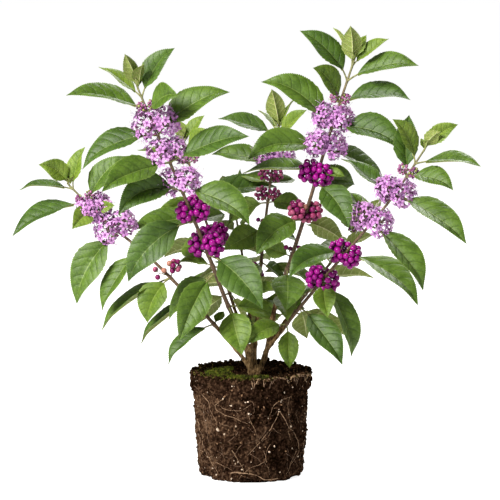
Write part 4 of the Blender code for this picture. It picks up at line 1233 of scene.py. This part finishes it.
def shaped_leaf(leaf, rng):
    """Corners, faces, which faces lie beneath, and the painted places of a leaf: how far across, from 0 to 1,
    and a tenth of the count of veins along."""
    size = leaf.length * (1 - PETIOLE_SHARE)
    veins = 5 if leaf.length < 0.042 else 6 if leaf.length < 0.075 else 7
    steps, columns = (8, 10) if leaf.length > 0.070 else (7, 8) if leaf.length > 0.042 else (5, 6)
    rows = veins * steps + 1
    across = np.linspace(-1, 1, columns + 1)
    across = np.sign(across) * np.abs(across) ** 0.92
    s, u = np.meshgrid(np.linspace(0, 1, rows), across, indexing="ij")
    wide = np.abs(u)
    v = s + SIDE_SWEEP * wide**1.15 * soft_step(s, 0, 0.2) * (1 - s)
    margin = wide > 0.999
    toothed = margin * soft_step(v, 0.08, 0.2) * (1 - soft_step(v, 0.86, 0.94))
    tooth = (np.arange(rows) % 2)[:, None] * toothed
    v = np.clip(v + tooth * TOOTH * 0.8 / size, 0, 1)

    half = np.maximum(size * leaf.width * 0.53 * blade_outline(v), 0.00025)
    fold = math.radians(rng.uniform(LEAST_FOLD, MOST_FOLD))
    sway = rng.uniform(-SWAY, SWAY) * size * np.sin(np.pi * v)
    twist = rng.uniform(-TWIST, TWIST) * (v - 0.25)
    curl = rng.uniform(LEAST_CURL, MOST_CURL) * size * soft_step(v, 0.70, 1.0) ** 1.3
    aside = u * (half * math.cos(fold) + tooth * TOOTH)
    lift = half * (math.sin(fold) * wide * (1.28 - 0.50 * wide) - 0.55 * (math.sin(fold) - 0.24))
    turn_left, turn_right = rng.uniform(0, 6.28), rng.uniform(0, 6.28)
    wave = np.where(u < 0, np.sin(9.5 * v + turn_left), np.sin(10.5 * v + turn_right))
    lift += WAVE * size * wide**2.2 * wave * np.sin(np.pi * np.clip(v, 0, 1)) ** 0.5
    between_veins = (s * veins) % 1.0
    pillow = (4 * between_veins * (1 - between_veins)) ** 0.8
    puffed = soft_step(wide, 0.0, 0.22) * (1 - 0.75 * soft_step(wide, 0.6, 1.0))
    lift += PUFF * size * pillow * (puffed * (1 - soft_step(v, 0.80, 0.98)))
    lift -= curl
    lift -= MIDRIB_GROOVE * (1 - soft_step(wide, 0.0, 0.14)) * (1 - v) ** 0.7

    # The sheet is laid along the arching midrib, whose place and directions are read between stations.
    reached, stations = PETIOLE_SHARE + v * (1 - PETIOLE_SHARE), np.linspace(0, 1, 61)
    table = np.array([[vector[:] for vector in leaf_frame(leaf, step / 60)] for step in range(61)])
    point, side, face = (
        np.stack([np.interp(reached, stations, table[:, kind, axis]) for axis in range(3)], axis=-1)
        for kind in (0, 2, 3)
    )
    turned_side = np.cos(twist)[..., None] * side + np.sin(twist)[..., None] * face
    turned_face = np.cos(twist)[..., None] * face - np.sin(twist)[..., None] * side
    middle = point + turned_side * (aside + sway)[..., None] + turned_face * lift[..., None]
    thick = BLADE_THICKNESS * (1 - 0.5 * margin)[..., None]
    keel = (wide < 1e-6) * (MIDRIB_KEEL * (1 - v) + 0.00015) * min(1, size / 0.07)
    upper = middle + turned_face * thick / 2
    lower = middle - turned_face * (thick / 2 + keel[..., None])

    corners = np.concatenate([upper.reshape(-1, 3), lower.reshape(-1, 3)])
    faces, underside = sheet_faces(rows, columns)
    places = np.stack([u * 0.5 + 0.5, s * veins / 10], axis=-1).reshape(-1, 2)
    return corners, faces, underside, np.concatenate([places, places])


def vein_places(place):
    """How far a spot lies from the midrib, 1 at the margin, and how far from the nearest side vein."""
    across = abs(place.painted("X") - 0.5) * 2.0
    return across, abs((place.painted("Y") * 10.0 + 0.5).fraction() - 0.5)


def lit_through(weight, tint, depth):
    """The constants of a thin skin that lets some light through, tinted so."""
    return {"Subsurface Weight": weight, "Subsurface Radius": tint, "Subsurface Scale": depth}


def leaf_finish(name, deep, light, rib_tone, roughness):
    """A blade's face: pale midrib, side veins sunk in the green and darkened as painted shade in their
    creases, a net of finer veins, a margin paled as painted highlight, and a satin bloom.
    """
    constants = {"Specular IOR Level": 0.28, **lit_through(0.12, (0.8, 1.0, 0.06), 0.0012)}
    material, shader, place = new_finish(name, constants)
    across, to_vein = vein_places(place)
    rib, margin = across.rise(0.036, 0.010), across.rise(0.93, 1.0)
    side_vein = to_vein.rise(0.060, 0.008) * across.rise(1.0, 0.75)
    net, mottle = place.noise(480.0, roughness=0.6), place.noise(70.0)
    green = (0.55 * mottle + 0.45 * net).rise(0.38, 0.62).between(deep, light)
    # Painted shade: the side veins are darkened towards the deep green, for the shade in their sunken
    # creases.
    veined = (side_vein * 0.40).between(green, [0.6 * tone for tone in deep])
    # The pale midrib is the leaf's own colour; the paler margin is a painted highlight on the lit edge.
    (rib * 0.65 + margin * 0.30).between(veined, rib_tone).into(shader, "Base Color")
    (roughness + 0.14 * mottle).into(shader, "Roughness")
    (1.2 * net + 0.8 * mottle - side_vein).bump(0.00030, shader)
    return material


def underside_finish():
    """The pale matt back of a leaf, with its raised veins paler still."""
    matt = {"Roughness": 0.72, "Specular IOR Level": 0.3}
    constants = {**matt, **lit_through(0.12, (0.35, 1.0, 0.12), 0.0012)}
    material, shader, place = new_finish("leaf_underside", constants)
    across, to_vein = vein_places(place)
    side_vein, net = to_vein.rise(0.08, 0.02), place.noise(700.0, detail=2.0)
    green = net.rise(0.35, 0.65).between((0.120, 0.155, 0.028), (0.190, 0.225, 0.052))
    veined = (side_vein * 0.6).between(green, (0.340, 0.380, 0.150))
    across.rise(0.07, 0.02).between(veined, (0.420, 0.440, 0.200)).into(shader, "Base Color")
    (net + side_vein).bump(0.0002, shader)
    return material


leaf_finishes = [
    leaf_finish("grown_leaf", (0.040, 0.080, 0.005), (0.078, 0.138, 0.014), (0.210, 0.280, 0.070), 0.42),
    leaf_finish("dark_leaf", (0.026, 0.058, 0.004), (0.052, 0.102, 0.010), (0.160, 0.215, 0.055), 0.42),
    leaf_finish("fresh_leaf", (0.058, 0.108, 0.006), (0.106, 0.168, 0.016), (0.250, 0.310, 0.080), 0.44),
    leaf_finish("young_leaf", (0.088, 0.146, 0.010), (0.152, 0.216, 0.026), (0.280, 0.330, 0.095), 0.48),
    underside_finish(),
]
UNDERSIDE = len(leaf_finishes) - 1
YOUNG_TINT = 3
LEAF_GROUPS = {
    "left_leaves": ("left_low", "left_tall"),
    "right_leaves": ("right_low", "right_tall"),
    "middle_and_back_leaves": ("middle", "back_left", "back_middle", "back_right"),
}


def add_leaf(heap, leaf, tint, rng):
    corners, faces, underside, places = shaped_leaf(leaf, rng)
    heap.add(corners, faces, np.where(underside, UNDERSIDE, tint).tolist(), places)


for piece_name, stem_names in LEAF_GROUPS.items():
    heap, rng = Heap(), random.Random(len(piece_name))
    for leaf in leaves:
        if leaf.stem in stem_names:
            near_tip = STEMS[leaf.stem].pairs[leaf.pair_number].share > 0.8
            young = near_tip and leaf.length < rng.uniform(0.046, 0.060)
            fresh = leaf.length < rng.uniform(0.050, 0.080)
            add_leaf(heap, leaf, YOUNG_TINT if young else 2 if fresh else rng.choice((0, 0, 1)), rng)
    for name in stem_names:
        tip, heading = PATHS[name].at(1.0), PATHS[name].heading(1.0)
        turn = rng.uniform(0, 360)
        for number, (length, lift) in enumerate(((0.014, 62), (0.013, 58), (0.008, 76), (0.008, 70))):
            bearing = turn + 180 * (number % 2) + 90 * (number // 2)
            foot = tip + heading * 0.001 * number
            bud = Leaf(name, "", 0, foot, bearing, lift, length, 0.0, droop_of(length), 0.5)
            add_leaf(heap, bud, YOUNG_TINT, rng)
    leaf_piece = heap.piece(piece_name, leaf_finishes, smooth_angle=60)
    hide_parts(*(f"{name}_{part}_foliage" for name in stem_names for part in ("lower", "upper")))
    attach(leaf_piece, "root")


# Fruit: glossy round berries, violet when ripe and dusty pink, rose or orange before, crowded on short
# forked stalks in the leaf axils. Each berry sits in a tiny calyx, and the stalks fork from one that leaves
# the twig.

# How many berries a head bears on its outside, their radius, how many it has deep inside, and the finishes
# that each is given at random, by their numbers in the list of berry finishes.
Harvest = namedtuple("Harvest", "count radius inner tints")
HARVESTS = {
    "ripe": Harvest(count=21, radius=0.00355, inner=3, tints=(0, 0, 0, 1)),
    "turning": Harvest(count=18, radius=0.00330, inner=2, tints=(3, 3, 3, 4, 4, 4, 2, 2, 5)),
    "few": Harvest(count=6, radius=0.00275, inner=0, tints=(1, 2, 2)),
    "unripe": Harvest(count=16, radius=0.00225, inner=2, tints=(6, 6, 2, 3)),
}
BERRY = ball_shape(2)

# The pair of heads, by its stem and number, that has lost most of its berries, and how many each has left.
SPARSE_HEADS = {("left_low", 2): (3, 8)}

# How far the stalk of a head runs towards its middle before it forks, and each fork on towards its berries.
HUB_SHARE, FORK_SHARE = 0.72, 0.52


def spread_over(count, rng):
    """Directions spread evenly over a ball, turned at random."""
    number = np.arange(count) + 0.5
    high = 1 - 2 * number / count
    turn = math.pi * (3 - 5**0.5) * number
    wide = np.sqrt(1 - high**2)
    return np.stack([wide * np.cos(turn), wide * np.sin(turn), high], axis=1) @ turned_about(rng).T


def upright(direction):
    """The turn that lays +Z along a direction, as a 3 by 3 matrix for rows of corners."""
    return np.array(UP.rotation_difference(Vector(direction)).to_matrix())


class Crowd:
    """Round things that crowd on the shells of one pair of heads, clear of each other and of the twig."""

    def __init__(self, twig):
        self.twig, self.members = np.array([point[:] for point in twig]), []

    def gather(self, head, owner, count, size, depth, rng):
        """Spreads so many things of a size over a head, on a shell at that share of its radius."""
        lean = upright(head.heading)
        for direction in spread_over(count, rng):
            shell = (head.radius * depth - size) * rng.uniform(0.93, 1.04) * np.array([1, 1, HEAD_STRETCH])
            spot = np.array(head.centre) + lean @ (direction * shell)
            member = (spot, size * rng.uniform(0.93, 1.05), np.array(head.centre), shell, lean, owner)
            self.members.append(member)

    def settle(self, twig_radius, overlap=0.84, rounds=60):
        """Pushes overlapping neighbours apart along their shells, and drops those that stay too close.
        Returns the owners, spots and sizes of the others."""
        spots, sizes, centres, shells, leans, owners = (np.array(column) for column in zip(*self.members))
        for _ in range(rounds):
            apart = spots[:, None] - spots[None]
            gap = np.linalg.norm(apart, axis=2) + np.eye(len(spots))
            near = np.clip(sizes[:, None] + sizes[None] - gap, 0, None) * (1 - np.eye(len(spots)))
            spots = spots + 0.5 * (apart / gap[..., None] * near[..., None]).sum(axis=1)
            away = spots[:, None] - self.twig[None]
            reach = np.linalg.norm(away, axis=2)
            closest = reach.argmin(axis=1)
            rows = np.arange(len(spots))
            short = np.clip(sizes + twig_radius - reach[rows, closest], 0, None)
            spots = spots + away[rows, closest] / reach[rows, closest][:, None] * short[:, None]
            local = np.einsum("nji,nj->ni", leans, spots - centres) / shells
            local = local / np.linalg.norm(local, axis=1)[:, None] * shells
            spots = centres + np.einsum("nij,nj->ni", leans, local)
        kept = []
        for row, (spot, size) in enumerate(zip(spots, sizes)):
            gaps = np.linalg.norm(spots[kept] - spot, axis=1)
            off_twig = np.linalg.norm(self.twig - spot, axis=1).min() > size * 0.8 + twig_radius
            if off_twig and np.all(gaps > overlap * (size + sizes[kept])):
                kept.append(row)
        return owners[kept], spots[kept], sizes[kept]


pairs_of_heads = {}
for head in heads:
    pairs_of_heads.setdefault((head.stem, head.pair_number), []).append(head)


def pairs_with(crops):
    """Each pair of heads with one of these crops: its stem and number, its heads, what the crop asks for,
    points along the twig beside it, the point where its stalks spring from and the twig's radius there."""
    for (name, number), pair_heads in pairs_of_heads.items():
        stem, path, asked = STEMS[name], PATHS[name], crops.get(pair_heads[0].crop)
        share, span = stem.pairs[number].share, 0.034 / path.length
        shares = np.linspace(share - span * 0.3, min(1.0, share + span), 30).tolist()
        if asked:
            twig = [path.at(beside) for beside in shares]
            yield (name, number), pair_heads, asked, twig, path.at(share), stem_radius(stem, share)


def collar_of(head):
    """A small head round the twig itself, just above the leaves, that joins the two heads of a pair."""
    node = PATHS[head.stem].at(STEMS[head.stem].pairs[head.pair_number].share)
    return head._replace(centre=node + head.heading * 0.0045, radius=0.0094)


def fork_out(heap, foot, hub, ends, rng, stout, forks=6):
    """Stalks from a foot to a hub, on to a few forks and out to every end. Returns each end's heading."""
    foot, hub = np.array(foot), np.array(hub)
    bow = (foot + hub) / 2 + np.array([0, 0, 0.0008])
    heap.add(*strand([foot, bow, hub], (stout, stout * 0.9, stout * 0.8), sides=6))
    aims = ends - hub
    aims = aims / np.linalg.norm(aims, axis=1)[:, None]
    chosen = (aims @ spread_over(forks, rng).T).argmax(axis=1)
    headings = np.zeros_like(ends)
    for fork in set(chosen.tolist()):
        group = np.flatnonzero(chosen == fork)
        spot = hub + (ends[group].mean(axis=0) - hub) * FORK_SHARE
        heap.add(*strand([hub, spot], (stout * 0.62, stout * 0.52), sides=5))
        for row in group:
            heap.add(*strand([spot, ends[row]], (stout * 0.42, stout * 0.36), sides=4))
            headings[row] = (ends[row] - spot) / (np.linalg.norm(ends[row] - spot) + 1e-9)
    return headings


def set_berry(heap, stalks, spot, size, heading, rng, tint):
    """A berry whose blossom end looks along its heading, painted with its height for the painted shade
    towards its stalk, in a calyx's cup.
    """
    lay = upright(heading) @ np.array(Matrix.Rotation(rng.uniform(0, 6.28), 3, "Z"))
    corners, faces = BERRY
    heights = corners[:, 2:] * (0.5, 0) + (0.5, 0)
    heap.add(corners * (1, 1, 0.95) * size @ lay.T + spot, faces, tint, heights)
    turns = 2 * np.pi * np.arange(5) / 5
    cup = np.stack([0.50 * np.cos(turns), 0.50 * np.sin(turns), np.full(5, -0.80)], axis=1)
    cup = np.vstack([cup, [0, 0, -1.22]])
    stalks.add(cup * size @ lay.T + spot, [(0, 1, 2, 3, 4)] + [((i + 1) % 5, i, 5) for i in range(5)], 1)


rng = random.Random(77)
berries, fruit_stalks = Heap(), Heap()
for key, pair_heads, harvest, twig, node, twig_radius in pairs_with(HARVESTS):
    crowd = Crowd(twig)
    counts = SPARSE_HEADS.get(key, (harvest.count, harvest.count))
    depth = 0.8 if key in SPARSE_HEADS else 1.02
    for owner, head in enumerate(pair_heads):
        crowd.gather(head, owner, counts[owner], harvest.radius, depth, rng)
        if key not in SPARSE_HEADS:
            crowd.gather(head, owner, harvest.inner, harvest.radius * 0.92, 0.58, rng)
    if pair_heads[0].crop in ("ripe", "turning") and key not in SPARSE_HEADS:
        crowd.gather(collar_of(pair_heads[0]), 0, 10, harvest.radius, 1.0, rng)
    owners, spots, sizes = crowd.settle(twig_radius, overlap=0.90)
    for owner, head in enumerate(pair_heads):
        mine = owners == owner
        if not mine.any():
            continue
        hub = node.lerp(head.centre, HUB_SHARE)
        headings = fork_out(fruit_stalks, node, hub, spots[mine], rng, stout=0.00075)
        for spot, size, heading in zip(spots[mine], sizes[mine], headings):
            set_berry(berries, fruit_stalks, spot, size, heading, rng, rng.choice(harvest.tints))


def berry_finish(name, skin, shade):
    """Taut glossy skin, painted darker towards the stalk as shade round the calyx, and faintly mottled."""
    material, shader, place = new_finish(name, {"Specular IOR Level": 0.24})
    mottle = place.noise(420.0)
    # Painted shade: the skin passes to its darker shade colour towards the stalk.
    clear_of_stalk_shade = place.painted("X").rise(0.10, 0.70) * (0.45 + 0.9 * mottle)
    clear_of_stalk_shade.between(shade, skin).into(shader, "Base Color")
    (0.18 + 0.12 * mottle).into(shader, "Roughness")
    mottle.bump(0.00008, shader)
    return material


berry_piece = berries.piece("berries", [
    berry_finish("ripe_berry", (0.255, 0.002, 0.172), (0.050, 0.001, 0.040)),
    berry_finish("deep_berry", (0.185, 0.001, 0.130), (0.034, 0.001, 0.028)),
    berry_finish("wine_berry", (0.170, 0.006, 0.075), (0.060, 0.003, 0.034)),
    berry_finish("pink_berry", (0.350, 0.072, 0.145), (0.120, 0.020, 0.044)),
    berry_finish("rose_berry", (0.260, 0.032, 0.098), (0.090, 0.010, 0.034)),
    berry_finish("pale_berry", (0.380, 0.170, 0.125), (0.200, 0.090, 0.045)),
    berry_finish("unripe_berry", (0.240, 0.030, 0.130), (0.130, 0.035, 0.050)),
])
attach(berry_piece, "root")
fruit_stalk_piece = fruit_stalks.piece("fruit_stalks", [
    stalk_finish("fruit_stalk", (0.090, 0.070, 0.028), (0.200, 0.160, 0.070)),
    stalk_finish("berry_calyx", (0.120, 0.080, 0.030), (0.230, 0.170, 0.070)),
], smooth_angle=60)
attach(fruit_stalk_piece, "root")


# Blossom: heads of small lilac stars, each a short tube that opens into five pointed lobes round a throat
# whose dark purple cap is painted shade, with thread-like stamens, set among round buds on dark forked
# stalks. At the tips all are buds.

# How many open flowers and buds a head bears, and the finishes of its buds by their numbers.
Posy = namedtuple("Posy", "flowers buds tints")
POSIES = {
    "blossom": Posy(flowers=30, buds=12, tints=(0, 0, 1)),
    "bud": Posy(flowers=0, buds=24, tints=(0, 0, 1, 1, 2)),
}
FLOWER_RADIUS, BUD_RADIUS = 0.0060, 0.00165

# The pairs of heads that are smaller than the others, by stem and number.
POSY_SIZES = {("right_tall", 7): 0.84, ("right_low", 5): 0.92, ("left_low", 5): 0.88}

LOBES, STAMEN_LENGTHS = 5, (0.80, 1.25)
PETAL, SHADED_THROAT, TUBE, FILAMENT, ANTHER = 0, 2, 3, 4, 5
BLOSSOM_HUB_SHARE, LEAST_FACING, FLOWER_TILT = 0.62, -0.70, 0.34


def flower_shape():
    """One flower of radius 1 that faces +Z: lobes, tube and stamens, with a finish number for each face."""
    corners, faces, finishes, reaches = [], [], [], []

    def corner(reach, turn, height, middle=(0, 0), spread=None):
        corners.append((middle[0] + reach * math.cos(turn), middle[1] + reach * math.sin(turn), height))
        reaches.append(reach if spread is None else spread)
        return len(corners) - 1

    def face(finish, *around):
        faces.append(around)
        finishes.append(finish)

    for lobe in range(LOBES):
        turn = 2 * math.pi * lobe / LOBES
        foot, tip = corner(0.19, turn, 0.00), corner(1.0, turn, -0.10)
        foot_left, foot_right = corner(0.23, turn - 0.62, 0.02), corner(0.23, turn + 0.62, 0.02)
        left, right = corner(0.66, turn - 0.52, 0.04), corner(0.66, turn + 0.52, 0.04)
        middle = corner(0.62, turn, 0.13)
        face(PETAL, foot_left, left, middle, foot)
        face(PETAL, foot, middle, right, foot_right)
        face(PETAL, left, tip, middle)
        face(PETAL, middle, tip, right)
        face(PETAL, foot, foot_right, right, tip, left, foot_left)
    low = len(corners)
    for reach, height in ((0.10, -1.00), (0.24, -0.02)):
        for step in range(LOBES):
            corner(reach, 2 * math.pi * (step + 0.5) / LOBES, height)
    for step in range(LOBES):
        after = (step + 1) % LOBES
        face(TUBE, low + step, low + after, low + LOBES + after, low + LOBES + step)
    # Painted shade: a dark purple sheet closes the tube's mouth, standing for the shade inside the tube.
    face(SHADED_THROAT, *range(low + LOBES, low + 2 * LOBES))
    for stamen, length in enumerate(STAMEN_LENGTHS):
        lean, first = math.pi * stamen + 0.4, len(corners)
        for reach, height, thick in ((0.06, -0.1, 0.022), (0.30, length * 0.9, 0.020), (0.33, length, 0.070)):
            middle = (math.cos(lean) * reach, math.sin(lean) * reach)
            for step in range(3):
                corner(thick, 2 * math.pi * step / 3, height, middle, spread=0.5)
        corner(0, 0, length + 0.10, (math.cos(lean) * 0.35, math.sin(lean) * 0.35), spread=0.5)
        for finish, ring in ((FILAMENT, first), (ANTHER, first + 3)):
            for step in range(3):
                a, b = ring + step, ring + (step + 1) % 3
                face(finish, a, b, b + 3, a + 3)
        for step in range(3):
            face(ANTHER, first + 6 + step, first + 6 + (step + 1) % 3, first + 9)
    return np.array(corners), faces, finishes, np.array(reaches)


FLOWER_CORNERS, FLOWER_FACES, FLOWER_FINISHES, FLOWER_REACHES = flower_shape()


def open_flower(heap, spot, heading, radius, rng, tint):
    lay = upright(heading) @ np.array(Matrix.Rotation(rng.uniform(0, 6.28), 3, "Z"))
    cupped = FLOWER_CORNERS.copy()
    cupped[:, 2] += rng.uniform(-0.10, 0.22) * FLOWER_REACHES**2 * (cupped[:, 2] < 0.2)
    cupped = cupped * (1, rng.uniform(0.86, 1.0), 1)
    finishes = [tint if finish == PETAL else finish for finish in FLOWER_FINISHES]
    places = FLOWER_REACHES[:, None] * (1, 0)
    heap.add(cupped * radius @ lay.T + spot, FLOWER_FACES, finishes, places)


rng = random.Random(41)
blossom, bud_heap, flower_stalks = Heap(), Heap(), Heap()
for key, pair_heads, posy, twig, node, twig_radius in pairs_with(POSIES):
    flowers, buds = Crowd(twig), Crowd(twig)
    # Painted shade: heads on the right-hand stems, away from the key lamp, take the darker mauve lobes twice
    # as often.
    petals = (0, 1, 1) if key[0].startswith("right") else (0, 0, 1)
    for owner, head in enumerate(pair_heads):
        if posy.flowers:
            depth = 1.08 * POSY_SIZES.get(key, 1)
            flowers.gather(head, owner, posy.flowers, FLOWER_RADIUS * 0.44, depth, rng)
        buds.gather(head, owner, posy.buds, BUD_RADIUS, 0.90 if posy.flowers else 1.0, rng)
    opened = flowers.settle(twig_radius, overlap=0.80) if posy.flowers else None
    owners, spots, sizes = buds.settle(twig_radius)
    for owner, head in enumerate(pair_heads):
        hub = node.lerp(head.centre, BLOSSOM_HUB_SHARE)
        if opened:
            out = np.array((head.centre - node).normalized())
            in_front = (opened[1] - head.centre) @ out > LEAST_FACING * head.radius
            ends = opened[1][(opened[0] == owner) & in_front]
            outward = ends - np.array(hub)
            outward /= np.linalg.norm(outward, axis=1)[:, None]
            fork_out(flower_stalks, node, hub, ends - outward * FLOWER_RADIUS * 0.9, rng, stout=0.00070)
            for spot, heading in zip(ends, outward):
                aim = Vector(heading) + FLOWER_TILT * stray(rng)
                size = FLOWER_RADIUS * rng.uniform(0.86, 1.08)
                open_flower(blossom, spot, aim.normalized(), size, rng, rng.choice(petals))
        mine = owners == owner
        if mine.any():
            headings = fork_out(flower_stalks, node, hub, spots[mine], rng, stout=0.00055)
            corners, faces = LUMP
            for spot, size, heading in zip(spots[mine], sizes[mine], headings):
                shape = corners * (1, 1, 1.18) * (size * rng.uniform(0.72, 1.1)) @ upright(heading).T + spot
                bud_heap.add(shape, faces, rng.choice(posy.tints))


def petal_finish(name, rim, heart):
    """A lilac lobe, deep purple towards the throat and paler at its edge."""
    velvet = {"Roughness": 0.6, "Specular IOR Level": 0.3, "Sheen Weight": 0.15}
    constants = {**velvet, **lit_through(0.15, (1.0, 0.6, 1.0), 0.0008)}
    material, shader, place = new_finish(name, constants)
    mottle = place.noise(700.0, detail=2.0)
    paled = place.painted("X").rise(0.16, 0.52) * (0.7 + 0.6 * mottle)
    paled.between(heart, rim).into(shader, "Base Color")
    mottle.bump(0.0002, shader)
    return material


blossom_piece = blossom.piece("blossom", [
    petal_finish("lilac_petal", (0.540, 0.262, 0.545), (0.260, 0.072, 0.280)),
    petal_finish("mauve_petal", (0.400, 0.165, 0.405), (0.190, 0.046, 0.200)),
    # The throat finish's dark purple is painted shade for the inside of the tube.
    petal_finish("throat", (0.150, 0.022, 0.150), (0.110, 0.014, 0.110)),
    petal_finish("flower_tube", (0.190, 0.070, 0.180), (0.150, 0.050, 0.130)),
    stalk_finish("filament", (0.480, 0.260, 0.600), (0.640, 0.420, 0.740)),
    stalk_finish("anther", (0.240, 0.230, 0.240), (0.560, 0.540, 0.420)),
], smooth_angle=60)
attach(blossom_piece, "root")
bud_piece = bud_heap.piece("buds", [
    stalk_finish("pink_bud", (0.205, 0.054, 0.142), (0.345, 0.130, 0.255)),
    stalk_finish("purple_bud", (0.135, 0.028, 0.105), (0.245, 0.068, 0.205)),
    stalk_finish("green_bud", (0.150, 0.170, 0.040), (0.290, 0.290, 0.090)),
])
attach(bud_piece, "root")
flower_stalk_piece = flower_stalks.piece("flower_stalks", [
    stalk_finish("flower_stalk", (0.070, 0.050, 0.022), (0.170, 0.130, 0.055)),
], smooth_angle=60)
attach(flower_stalk_piece, "root")
